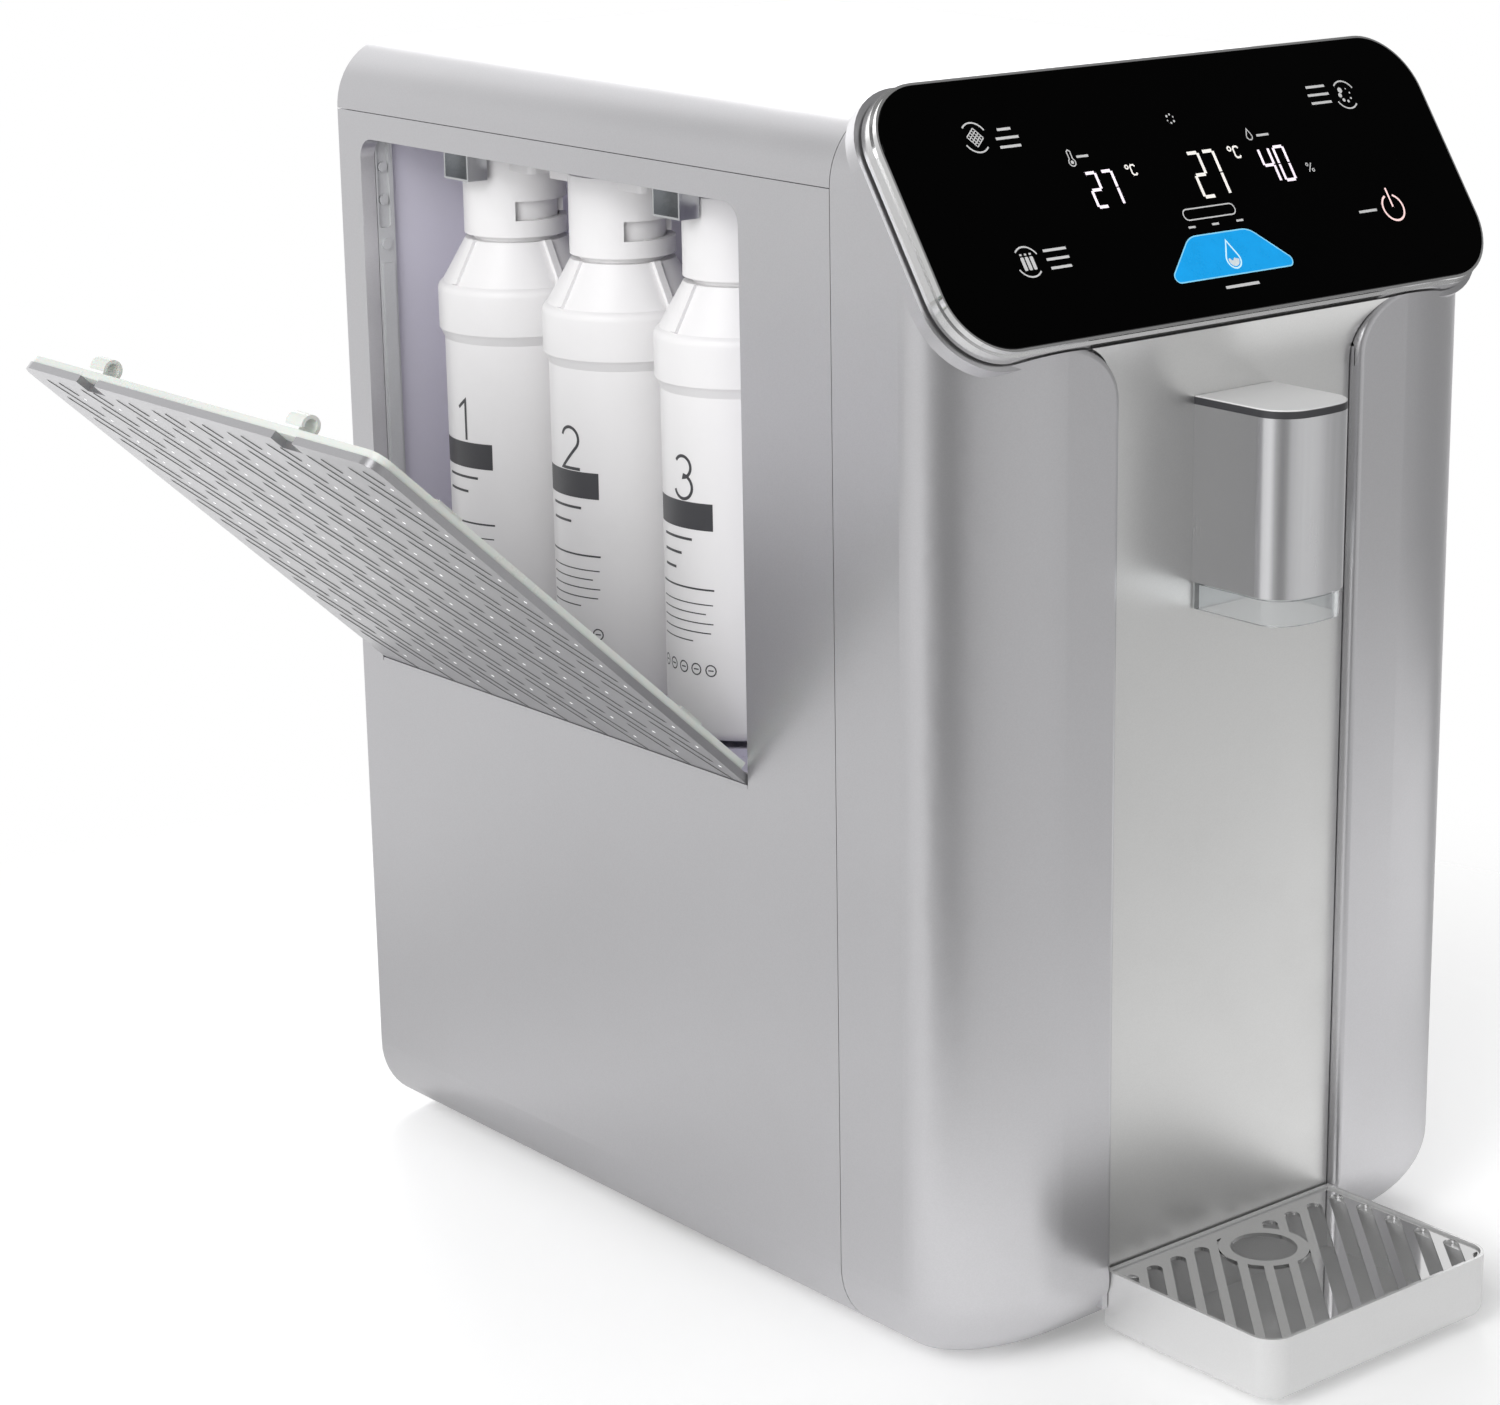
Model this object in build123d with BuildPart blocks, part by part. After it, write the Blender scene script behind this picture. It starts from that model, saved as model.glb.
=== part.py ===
"""Countertop air-to-water dispenser: an assembly of separate pieces.

The machine condenses water from room air, filters it through three cartridges
and dispenses it at the front. +Z is up and the front faces -Y. All sizes are
in millimetres. Sketches are drawn in machine coordinates: x = 0 on the centre
plane, y = 0 on the front of the pillars, z = 0 on the counter.
"""

from build123d import *
import os
from math import cos, radians, sin

os.makedirs("parts", exist_ok=True)

# --- driving dimensions -------------------------------------------------------
W = 270.0                     # cabinet width
D = 368.0                     # cabinet depth, pillars to rear edge
H = 450.0                     # cabinet height without feet
FOOT = 3.0                    # how far the feet stand out
R_TOP = 26.0                  # rounding along the top edges
R_BOT = 30.0                  # rounding along the bottom edges
R_BOT_FRONT = 28.0            # the same under the pillars
T = 2.5                       # wall of the moulded shells
GAP = 0.3                     # seam between shells

Z0 = FOOT                     # underside of the cabinet
Z1 = FOOT + H                 # top of the cabinet
SEAM_Y = 64.5                 # seam between front bezel and side panels
SEAM_Z = Z1 - R_TOP           # seam between side panels and top cover

PANEL_W = 120.0               # centre panel, tray and grille width
PANEL_Y = 5.0                 # face of the centre panel behind the pillars
CORNER_X, CORNER_Y = 50.0, 30.0    # half axes of the bezel's elliptic corners

TILT = 34.0                   # display leans back from vertical
GLASS_W, GLASS_H = 264.0, 98.5
GLASS_R = 23.0
GLASS_T = 3.0
GLASS_Y, GLASS_Z = -3.0, Z0 + 375.7   # lower front edge of the glass
LIP_OUT = 4.2                 # cabinet lip beyond the edge of the glass

OPEN_Y0, OPEN_Y1 = 114.5, 353.0       # filter door opening in the left side
OPEN_Z0, OPEN_Z1 = 204.0, 416.5
OPEN_R = 8.0
FRAME = 4.0                   # depth of the frame behind the opening

DOOR_ANGLE = 47.6             # how far the open door leans out of the side
HINGE_X, HINGE_Z = -132.7, 206.6
HINGE_R = 2.2                 # barrel along the door's lower edge
PIN_R = 1.2
DOOR_T = 3.0                  # door skin
DOOR_L = 209.0                # hinge line to free edge
DOOR_Y0, DOOR_Y1 = OPEN_Y0 + 1.0, OPEN_Y1 - 1.0

CART_X = -94.0                # three filter cartridges in a row
CART_PITCH = 70.0
CART_Y = [307.0 - CART_PITCH * i for i in range(3)]
CART_R = 29.4                 # body
COLLAR_R = 31.4
SKIRT_R = 20.2                # head skirt round the cartridge neck
CART_Z0 = 210.0
COLLAR_Z = (343.0, 363.0)
NECK_Z = 379.0

SPOUT_W, SPOUT_D = 39.5, 44.0         # width, and reach from the centre panel
SPOUT_Z0, SPOUT_Z1 = Z0 + 279.5, Z0 + 343.5
SPOUT_R, SPOUT_BOW = 13.0, 3.0  # rounding of the front corners, and bow of the front face

TRAY_W, TRAY_D = 119.2, 84.0  # tray between the pillars
TRAY_Y1 = 4.0                 # its rear edge
TRAY_Z0, TRAY_Z1 = 4.5, 29.5
TRAY_T = 2.2
GRILLE_HOLE_R = 12.5

# The model's origin is the bottom centre of its box with the door open: from the
# door's free edge to the display's lip, and from the tray's front to the rear.
DOOR_REACH = HINGE_X - DOOR_L * sin(radians(DOOR_ANGLE)) - HINGE_R * cos(radians(DOOR_ANGLE))
X0 = -(DOOR_REACH + GLASS_W / 2 + LIP_OUT) / 2
Y0 = -(TRAY_Y1 - TRAY_D + D) / 2

PLAN = Plane((X0, Y0, 0))                                                  # seen from above
FRONT = Plane(origin=(X0, Y0, 0), x_dir=(1, 0, 0), z_dir=(0, -1, 0))       # seen from the front
SIDE = Plane(origin=(X0, Y0, 0), x_dir=(0, 1, 0), z_dir=(1, 0, 0))         # seen from the right


def front_at(y):
    """Front-view plane at machine depth y; extrusions from it go forwards."""
    return FRONT.offset(-y)


def glass_plane(depth=0.0):
    """Plane of the display glass, moved back into the machine by depth."""
    lean = radians(TILT)
    normal = (0, -cos(lean), sin(lean))
    return Plane(origin=(X0, Y0 + GLASS_Y, GLASS_Z), x_dir=(1, 0, 0), z_dir=normal).offset(-depth)


def outline(inset):
    """Cabinet outline seen from the front, moved inwards by inset."""
    with BuildSketch() as profile:
        with Locations((0, (Z0 + Z1) / 2)):
            Rectangle(W - 2 * inset, H - 2 * inset)
        fillet(profile.vertices().sort_by(Axis.Y)[-2:], R_TOP - inset)
        fillet(profile.vertices().sort_by(Axis.Y)[:2], R_BOT - inset)
    return profile.sketch


def sector(radius, start, sweep):
    """Pie slice of the given radius, angles in degrees."""
    with BuildSketch() as slice_:
        with BuildLine():
            arc = CenterArc((0, 0), radius, start, sweep)
            Polyline(arc @ 1, (0, 0), arc @ 0)
        make_face()
    return slice_.sketch


def save(piece, name):
    """Label a finished piece and write it as one STEP file."""
    piece.part.label = name
    export_step(piece.part, f"parts/{name}.step")


# --- cabinet shells -----------------------------------------------------------
# The side panels wrap under the base, so each is one length of the outline.
SHELL_Y0, SHELL_Y1 = SEAM_Y + GAP, D
FLANGE_X = 98.0               # inner edge of the panels' bottom flanges
RECESS_Y, RECESS_H, RECESS_R = 188.0, 4.0, 380.0   # shallow arch to lift the cabinet by

with BuildPart() as side_panel_left:
    with BuildSketch(front_at(SHELL_Y0)):
        add(outline(0))
        add(outline(T), mode=Mode.SUBTRACT)
        with Locations((-(W / 2 + FLANGE_X) / 2, (Z0 + SEAM_Z - GAP) / 2)):
            Rectangle(W / 2 - FLANGE_X, SEAM_Z - GAP - Z0, mode=Mode.INTERSECT)
    extrude(amount=-(SHELL_Y1 - SHELL_Y0))
    # frame round the door opening, with the two hinge pin holes
    opening_c = ((OPEN_Y0 + OPEN_Y1) / 2, (OPEN_Z0 + OPEN_Z1) / 2)
    opening_w, opening_h = OPEN_Y1 - OPEN_Y0, OPEN_Z1 - OPEN_Z0
    with BuildSketch(SIDE.offset(-W / 2 + T)):
        with Locations(opening_c):
            RectangleRounded(opening_w + 2 * FRAME, opening_h + 2 * FRAME, OPEN_R + FRAME)
    extrude(amount=FRAME)
    with BuildSketch(SIDE.offset(-W / 2)):
        with Locations(opening_c):
            RectangleRounded(opening_w, opening_h, OPEN_R)
    extrude(amount=T + FRAME, mode=Mode.SUBTRACT)
    # square lower corners, so that the door's hinge barrel fits
    with BuildSketch(SIDE.offset(-W / 2)):
        with Locations((opening_c[0], OPEN_Z0 + OPEN_R / 2)):
            Rectangle(opening_w, OPEN_R)
    extrude(amount=T + FRAME, mode=Mode.SUBTRACT)
    with BuildSketch(front_at(OPEN_Y0 - FRAME + 0.8)):
        with Locations((HINGE_X, HINGE_Z)):
            Circle(PIN_R + 0.05)
    extrude(amount=-(opening_w + 2 * FRAME - 1.6), mode=Mode.SUBTRACT)
    # shallow hand recess along the bottom edge
    with BuildSketch(SIDE.offset(-W / 2)):
        with Locations((RECESS_Y, Z0 + RECESS_H - RECESS_R)):
            Circle(RECESS_R)
    extrude(amount=W / 2 - FLANGE_X + 5, mode=Mode.SUBTRACT)
save(side_panel_left, "side_panel_left")

with BuildPart() as side_panel_right:
    with BuildSketch(front_at(SHELL_Y0)):
        add(outline(0))
        add(outline(T), mode=Mode.SUBTRACT)
        with Locations(((W / 2 + FLANGE_X) / 2, (Z0 + SEAM_Z - GAP) / 2)):
            Rectangle(W / 2 - FLANGE_X, SEAM_Z - GAP - Z0, mode=Mode.INTERSECT)
    extrude(amount=-(SHELL_Y1 - SHELL_Y0))
    with BuildSketch(SIDE.offset(W / 2)):
        with Locations((RECESS_Y, Z0 + RECESS_H - RECESS_R)):
            Circle(RECESS_R)
    extrude(amount=-(W / 2 - FLANGE_X + 5), mode=Mode.SUBTRACT)
    # louvres where the dried air leaves
    with BuildSketch(SIDE.offset(W / 2)):
        with Locations((200, 130)):
            with GridLocations(56, 9, 3, 11):
                SlotOverall(46, 3.6)
    extrude(amount=-T, mode=Mode.SUBTRACT)
save(side_panel_right, "side_panel_right")

with BuildPart() as top_cover:
    with BuildSketch(front_at(SHELL_Y0)):
        add(outline(0))
        add(outline(T), mode=Mode.SUBTRACT)
        with Locations((0, (SEAM_Z + Z1) / 2)):
            Rectangle(W, R_TOP, mode=Mode.INTERSECT)
    extrude(amount=-(SHELL_Y1 - SHELL_Y0))
    # inner tongues that locate the cover on the side panels
    for side in (-1, 1):
        with BuildSketch(front_at(SHELL_Y0 + 4)):
            with Locations((side * (W / 2 - T - 1.0), SEAM_Z + 2)):
                Rectangle(1.6, 16)
        extrude(amount=-(SHELL_Y1 - SHELL_Y0 - 12))
save(top_cover, "top_cover")

# --- front bezel: two pillars, a base beam and the lip behind the display -----
BEAM_Z = 15.0                 # lower edge of the centre opening
FLARE_R = 22.0                # the pillars' shoulders round off towards the display
FLARE_X, FLARE_Z = 88.0, 376.0
RETURN = 15.0                 # depth of the pillars' inner walls
PILLAR_R = 2.4                # rounding of the pillars' inner edges
LIP_D0, LIP_D1 = 9.2, 14.5    # the lip, measured behind the glass
COVE = 8.0                    # hollow blend from the lip to the cabinet
BAND_OUT = 1.8                # display housing beyond the edge of the glass
DECK_T = 2.8
TUB_W, TUB_H, TUB_D = 224.0, 80.0, 24.0    # back of the display housing
ARCH_X, ARCH_H = 105.0, 10.0  # shallow arch under the front
ARM_X, ARM_W, ARM_T = 40.0, 12.0, 3.0      # the tray's two mounting arms
ARM_Z, ARM_END = 8.0, 40.0


def on_glass(up, depth):
    """Side-view point, up along the glass from its lower edge and behind it."""
    lean = radians(TILT)
    return (GLASS_Y + up * sin(lean) + depth * cos(lean),
            GLASS_Z + up * cos(lean) - depth * sin(lean))


def bezel_plan(x_inset=0.0, y_inset=0.0, back=SEAM_Y):
    """Plan of the bezel: a box with an elliptic corner at each front edge."""
    side, front = W / 2 - x_inset, y_inset
    a, b = CORNER_X - 0.6 * x_inset, CORNER_Y - 0.5 * y_inset
    with BuildSketch() as plan:
        with BuildLine():
            left = EllipticalCenterArc((-side + a, front + b), a, b, 180, arc_size=90)
            right = EllipticalCenterArc((side - a, front + b), a, b, 270, arc_size=90)
            Line(left @ 1, right @ 0)
            Polyline(right @ 1, (side, back), (-side, back), left @ 0)
        make_face()
    return plan.sketch


def display_outline(grow=0.0):
    """Outline of the glass on its own plane, grown outwards."""
    with BuildSketch() as shape:
        with Locations((0, GLASS_H / 2)):
            RectangleRounded(GLASS_W + 2 * grow, GLASS_H + 2 * grow, GLASS_R + grow)
    return shape.sketch


def centre_opening(gap=0.0):
    """Front-view outline of the opening between the pillars, less a gap."""
    x, start, top = PANEL_W / 2 - gap, FLARE_Z - FLARE_R, FLARE_Z + 4
    with BuildSketch() as shape:
        with BuildLine():
            left = EllipticalCenterArc((-FLARE_X, start), FLARE_X - x, FLARE_R + gap, 0, arc_size=90)
            right = EllipticalCenterArc((FLARE_X, start), FLARE_X - x, FLARE_R + gap, 90, arc_size=90)
            Polyline(left @ 1, (-FLARE_X, top), (FLARE_X, top), right @ 0)
            Polyline(right @ 1, (x, BEAM_Z + max(gap, 0)), (-x, BEAM_Z + max(gap, 0)), left @ 0)
        make_face()
    return shape.sketch


# cutter for the centre opening: its mouth widens forwards, which rounds the
# pillars' inner edges, and it stops just under the display
with BuildPart() as opening_cutter:
    for lean in (0, 30, 60, 90):
        with BuildSketch(front_at(PILLAR_R * (1 - sin(radians(lean))))):
            add(centre_opening(-PILLAR_R * (1 - cos(radians(lean)))))
    loft()
    with BuildSketch(front_at(PILLAR_R)):
        add(centre_opening())
    extrude(amount=-30)
    with BuildSketch(front_at(0)):
        add(centre_opening(-PILLAR_R))
    extrude(amount=10)
    with BuildSketch(SIDE):
        with BuildLine():
            Polyline((-9, BEAM_Z), (RETURN, BEAM_Z), on_glass(-BAND_OUT - 0.5, 23),
                     on_glass(-BAND_OUT - 0.5, -6), (-9, BEAM_Z))
        make_face()
    extrude(amount=W / 2, both=True, mode=Mode.INTERSECT)

# hollow inside the bezel: the cabinet's form less one wall, up to the deck
with BuildPart() as bezel_hollow:
    for beta in (90, 60, 30, 0):
        shrink = 1 - cos(radians(beta))
        with BuildSketch(PLAN.offset(Z0 + T + (R_BOT - T) * (1 - sin(radians(beta))))):
            add(bezel_plan(T + (R_BOT - T) * shrink, T + (R_BOT_FRONT - T) * shrink, SEAM_Y + 1))
    loft()
    with BuildSketch(PLAN.offset(Z0 + R_BOT)):
        add(bezel_plan(T, T, SEAM_Y + 1))
    extrude(amount=H)
    with BuildSketch(SIDE):
        with BuildLine():
            Polyline((0, 0), (SEAM_Y + 5, 0), (SEAM_Y + 5, Z1 - T), on_glass(70, LIP_D1 + DECK_T),
                     on_glass(-40, LIP_D1 + DECK_T), (0, 0))
        make_face()
    extrude(amount=W, both=True, mode=Mode.INTERSECT)
    with BuildSketch(front_at(-1)):
        with Locations((0, Z1 / 2)):
            Rectangle(W + 20, Z1)
        add(outline(T), mode=Mode.SUBTRACT)
        with Locations((0, Z1)):
            Rectangle(W + 20, 2 * R_TOP, mode=Mode.INTERSECT)
    extrude(amount=-(SEAM_Y + 10), mode=Mode.SUBTRACT)

with BuildPart() as front_bezel:
    # rounded base, lofted through plans that shrink along a quarter circle
    for beta in (90, 75, 60, 45, 30, 15, 0):
        shrink = 1 - cos(radians(beta))
        with BuildSketch(PLAN.offset(Z0 + R_BOT * (1 - sin(radians(beta))))):
            add(bezel_plan(R_BOT * shrink, R_BOT_FRONT * shrink))
    loft()
    with BuildSketch(PLAN.offset(Z0 + R_BOT)):
        add(bezel_plan())
    extrude(amount=H - R_BOT)
    # top corners, continuous with the cover
    with BuildSketch(front_at(-10)):
        with Locations((0, Z1)):
            Rectangle(W + 20, 2 * R_TOP)
        add(outline(0), mode=Mode.SUBTRACT)
    extrude(amount=-(SEAM_Y + 20), mode=Mode.SUBTRACT)
    # room for the display, which leans back over the pillars
    with BuildSketch(SIDE):
        with BuildLine():
            Polyline(on_glass(-BAND_OUT - 0.5, LIP_D0), on_glass(200, LIP_D0), on_glass(200, -80),
                     on_glass(-BAND_OUT - 0.5, -80), on_glass(-BAND_OUT - 0.5, LIP_D0))
        make_face()
    extrude(amount=W, both=True, mode=Mode.SUBTRACT)
    # raised lip, and a hollow blend from it to the cabinet
    with BuildSketch(glass_plane(LIP_D0)):
        add(display_outline(LIP_OUT))
    extrude(amount=-(LIP_D1 - LIP_D0))
    for turn in (0, 30, 60):
        step_back = COVE * (cos(radians(turn)) - cos(radians(turn + 30)))
        with BuildSketch(glass_plane(LIP_D1 + COVE * (1 - cos(radians(turn))))):
            add(display_outline(LIP_OUT - COVE * sin(radians(turn))))
        extrude(amount=-step_back, taper=75 - turn)
    with BuildSketch(PLAN.offset(Z1 - 80)):
        with Locations((0, SEAM_Y + 50)):
            Rectangle(W + 20, 100)
    extrude(amount=160, mode=Mode.SUBTRACT)
    add(bezel_hollow.part, mode=Mode.SUBTRACT)
    # opening for the back of the display, then the one between the pillars
    with BuildSketch(glass_plane(0)):
        with Locations((0, GLASS_H / 2)):
            RectangleRounded(TUB_W + 1, TUB_H + 1, 6)
    extrude(amount=-50, mode=Mode.SUBTRACT)
    add(opening_cutter.part, mode=Mode.SUBTRACT)
    # inner walls of the pillars
    with BuildSketch(front_at(PILLAR_R)):
        for x in (-1, 1):
            with Locations((x * (PANEL_W / 2 + T / 2), (BEAM_Z + 350) / 2)):
                Rectangle(T, 350 - BEAM_Z)
    extrude(amount=-(RETURN - PILLAR_R))
    # channels for the arms of the tray
    with BuildSketch(front_at(9)):
        for x in (-ARM_X, ARM_X):
            with Locations((x, Z0 + T + 3)):
                Rectangle(ARM_W + 5, 8)
    extrude(amount=-(ARM_END - 9))
    with BuildSketch(front_at(-5)):
        for x in (-ARM_X, ARM_X):
            with Locations((x, ARM_Z + ARM_T / 2)):
                Rectangle(ARM_W + 0.8, ARM_T + 0.8)
    extrude(amount=-(ARM_END + 10), mode=Mode.SUBTRACT)
    # arch under the front
    with BuildSketch(front_at(-5)):
        with BuildLine():
            ThreePointArc((-ARCH_X, Z0), (0, Z0 + ARCH_H), (ARCH_X, Z0))
            Line((ARCH_X, Z0), (-ARCH_X, Z0))
        make_face()
    extrude(amount=-30, mode=Mode.SUBTRACT)
save(front_bezel, "front_bezel")

# --- centre panel, rolling forwards under the display -------------------------
PANEL_GAP = 0.4
PANEL_Z0 = BEAM_Z + PANEL_GAP
COVE_Z = 350.0                # the face starts to roll forwards here
COVE_R = 55.0
SKIRT = 8.0                   # edges turned back along both sides
SOCKET_W, SOCKET_Z = 24.0, (Z0 + 284.0, Z0 + 334.0)     # where the spout bolts on

with BuildPart() as centre_panel:
    with BuildSketch(SIDE):
        with BuildLine():
            face = Line((PANEL_Y, PANEL_Z0), (PANEL_Y, COVE_Z))
            roll = CenterArc((PANEL_Y - COVE_R, COVE_Z), COVE_R, 0, 29)
            back_roll = CenterArc((PANEL_Y - COVE_R, COVE_Z), COVE_R + T, 0, 29)
            Line(roll @ 1, back_roll @ 1)
            Polyline(back_roll @ 0, (PANEL_Y + T, PANEL_Z0), face @ 0)
        make_face()
        with BuildLine():
            Polyline(on_glass(-BAND_OUT - 0.9, -20), on_glass(-BAND_OUT - 0.9, LIP_D0 + 20),
                     on_glass(60, LIP_D0 + 20), on_glass(60, -20), on_glass(-BAND_OUT - 0.9, -20))
        make_face(mode=Mode.SUBTRACT)
    extrude(amount=W / 2, both=True)
    with BuildSketch(front_at(-20)):
        add(centre_opening(PANEL_GAP))
    extrude(amount=-60, mode=Mode.INTERSECT)
    with BuildSketch(front_at(PANEL_Y + T)):
        for x in (-1, 1):
            with Locations((x * (PANEL_W / 2 - PANEL_GAP - T / 2), (PANEL_Z0 + COVE_Z - 6) / 2)):
                Rectangle(T, COVE_Z - 6 - PANEL_Z0)
    extrude(amount=-SKIRT)
    # opening behind the spout
    with BuildSketch(front_at(0)):
        with Locations((0, sum(SOCKET_Z) / 2)):
            Rectangle(SOCKET_W, SOCKET_Z[1] - SOCKET_Z[0])
    extrude(amount=-20, mode=Mode.SUBTRACT)
save(centre_panel, "centre_panel")

# --- display ------------------------------------------------------------------
TRIM_OUT, TRIM_D0, TRIM_D1 = 1.1, 0.4, 3.4
HOUSING_D1 = 8.2              # back of the visible band; a dark groove follows

with BuildPart() as display_glass:
    with BuildSketch(glass_plane(GLASS_T)):
        add(display_outline())
    extrude(amount=GLASS_T)
save(display_glass, "display_glass")

with BuildPart() as display_trim:
    with BuildSketch(glass_plane(TRIM_D1)):
        add(display_outline(TRIM_OUT))
    extrude(amount=TRIM_D1 - TRIM_D0)
    with BuildSketch(glass_plane(GLASS_T)):
        add(display_outline(0.02))
    extrude(amount=GLASS_T, mode=Mode.SUBTRACT)
    with BuildSketch(glass_plane(TRIM_D1)):
        add(display_outline(-3))
    extrude(amount=TRIM_D1, mode=Mode.SUBTRACT)
save(display_trim, "display_trim")

with BuildPart() as display_housing:
    with BuildSketch(glass_plane(HOUSING_D1)):
        add(display_outline(BAND_OUT))
    extrude(amount=HOUSING_D1 - TRIM_D1)
    # neck behind the groove, then the tub that holds the board
    with BuildSketch(glass_plane(HOUSING_D1)):
        add(display_outline(-3))
    extrude(amount=-(LIP_D0 - HOUSING_D1))
    with BuildSketch(glass_plane(LIP_D0)):
        with Locations((0, GLASS_H / 2)):
            RectangleRounded(TUB_W, TUB_H, 6)
    extrude(amount=-(TUB_D - LIP_D0))
    with BuildSketch(glass_plane(TRIM_D1)):
        with Locations((0, GLASS_H / 2)):
            RectangleRounded(TUB_W - 2 * T, TUB_H - 2 * T, 4)
    extrude(amount=-(TUB_D - TRIM_D1 - T), mode=Mode.SUBTRACT)
save(display_housing, "display_housing")

with BuildPart() as display_board:
    with BuildSketch(glass_plane(13.6)):
        with Locations((0, GLASS_H / 2)):
            RectangleRounded(TUB_W - 2 * T - 0.6, TUB_H - 2 * T - 0.6, 5)
    extrude(amount=1.6)
    # light boxes behind the figures and touch pads behind the corner symbols
    with BuildSketch(glass_plane(12.0)):
        with Locations((-40, 52), (7, 52), (44, 52)):
            Rectangle(26, 20)
        with Locations((-91, 76), (-91, 30), (91, 76), (91, 30), (0, 22)):
            Circle(7)
    extrude(amount=8.6)
save(display_board, "display_board")

# --- spout --------------------------------------------------------------------
CAP_T = 3.0
SKIRT_DROP, SKIRT_IN, SKIRT_WALL = 10.0, 1.0, 1.6
NOZZLE_Y = -19.0
NOZZLE_R = 5.0


def spout_plan(inset=0.0, back=PANEL_Y):
    """Plan of the spout: square at the panel, a bowed front between round corners."""
    half, front = SPOUT_W / 2 - inset, PANEL_Y - SPOUT_D + inset
    with BuildSketch() as plan:
        with BuildLine():
            bow = ThreePointArc((-half, front + SPOUT_BOW), (0, front), (half, front + SPOUT_BOW))
            Polyline(bow @ 1, (half, back), (-half, back), bow @ 0)
        make_face()
        fillet(plan.vertices().sort_by(Axis.Y)[:2], SPOUT_R - inset)
    return plan.sketch


with BuildPart() as spout_housing:
    with BuildSketch(PLAN.offset(SPOUT_Z0)):
        add(spout_plan())
        add(spout_plan(T, PANEL_Y - T), mode=Mode.SUBTRACT)
    extrude(amount=SPOUT_Z1 - SPOUT_Z0)
    # floor round the nozzle and a boss that reaches through the panel
    with BuildSketch(PLAN.offset(SPOUT_Z0 + 6)):
        add(spout_plan(T - 0.5))
        with Locations((0, NOZZLE_Y)):
            Circle(NOZZLE_R + 0.1, mode=Mode.SUBTRACT)
    extrude(amount=T)
    with BuildSketch(front_at(PANEL_Y - T)):
        with Locations((0, sum(SOCKET_Z) / 2)):
            Rectangle(SOCKET_W - 0.6, SOCKET_Z[1] - SOCKET_Z[0] - 0.6)
    extrude(amount=-12)
    with BuildSketch(front_at(PANEL_Y - T - 1)):
        with Locations((0, SPOUT_Z0 + 30)):
            Circle(4.1)
    extrude(amount=-20, mode=Mode.SUBTRACT)
save(spout_housing, "spout_housing")

with BuildPart() as spout_cap:
    with BuildSketch(PLAN.offset(SPOUT_Z1)):
        add(spout_plan())
    extrude(amount=CAP_T)
    fillet(spout_cap.faces().sort_by(Axis.Z)[-1].edges(), 0.7)
    with BuildSketch(PLAN.offset(SPOUT_Z1 - 4)):
        add(spout_plan(T + 0.2, PANEL_Y - T - 0.2))
        add(spout_plan(T + 1.8, PANEL_Y - T - 1.8), mode=Mode.SUBTRACT)
    extrude(amount=4)
save(spout_cap, "spout_cap")

with BuildPart() as spout_skirt:
    with BuildSketch(PLAN.offset(SPOUT_Z0 - SKIRT_DROP)):
        add(spout_plan(SKIRT_IN, PANEL_Y - 0.6))
        add(spout_plan(SKIRT_IN + SKIRT_WALL, PANEL_Y - 0.6 - SKIRT_WALL), mode=Mode.SUBTRACT)
    extrude(amount=SKIRT_DROP)
    # upper edge inside the housing, and two snap ledges below the floor
    with BuildSketch(PLAN.offset(SPOUT_Z0)):
        add(spout_plan(T + 0.1, PANEL_Y - T - 0.1))
        add(spout_plan(T + 1.5, PANEL_Y - T - 1.5), mode=Mode.SUBTRACT)
    extrude(amount=5.9)
    with BuildSketch(PLAN.offset(SPOUT_Z0 - 1.2)):
        add(spout_plan(SKIRT_IN + SKIRT_WALL - 0.4, PANEL_Y - SKIRT_WALL))
        add(spout_plan(T + 1.5, PANEL_Y - T - 1.5), mode=Mode.SUBTRACT)
    extrude(amount=1.2)
save(spout_skirt, "spout_skirt")

with BuildPart() as spout_nozzle:
    with BuildSketch(PLAN.offset(SPOUT_Z0 - 4)):
        with Locations((0, NOZZLE_Y)):
            Circle(NOZZLE_R)
    extrude(amount=40)
    with BuildSketch(PLAN.offset(SPOUT_Z0 + 6 + T)):
        with Locations((0, NOZZLE_Y)):
            Circle(NOZZLE_R + 2.5)
    extrude(amount=2)
    # inlet tube from the valve
    with BuildSketch(front_at(NOZZLE_Y)):
        with Locations((0, SPOUT_Z0 + 30)):
            Circle(4)
    extrude(amount=-40)
    with BuildSketch(front_at(NOZZLE_Y)):
        with Locations((0, SPOUT_Z0 + 30)):
            Circle(2.5)
    extrude(amount=-41, mode=Mode.SUBTRACT)
    with BuildSketch(PLAN.offset(SPOUT_Z0 - 4)):
        with Locations((0, NOZZLE_Y)):
            Circle(NOZZLE_R - 1.5)
    extrude(amount=38, mode=Mode.SUBTRACT)
save(spout_nozzle, "spout_nozzle")

# --- drip tray and grille -----------------------------------------------------
TRAY_Y0 = TRAY_Y1 - TRAY_D
RIM = 1.2                     # thin rim left standing round the grille
LEDGE = 2.6                   # the grille rests this far below the rim
GRILLE_T = 1.5
GRILLE_X, GRILLE_Y1 = 57.5, -3.0       # right and rear limits of the slots
HOLE_Y, HOLE_RING = -19.0, 4.5
SLOT_W, SLOT_PITCH, SLOT_TURN = 5.8, 12.2, 50.0
SLOT_FIRST = -53.8            # first slot's centre line at the grille's rear edge
SLOT_RIM = 0.8                # left standing where the slots run out to the left and the front


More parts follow.
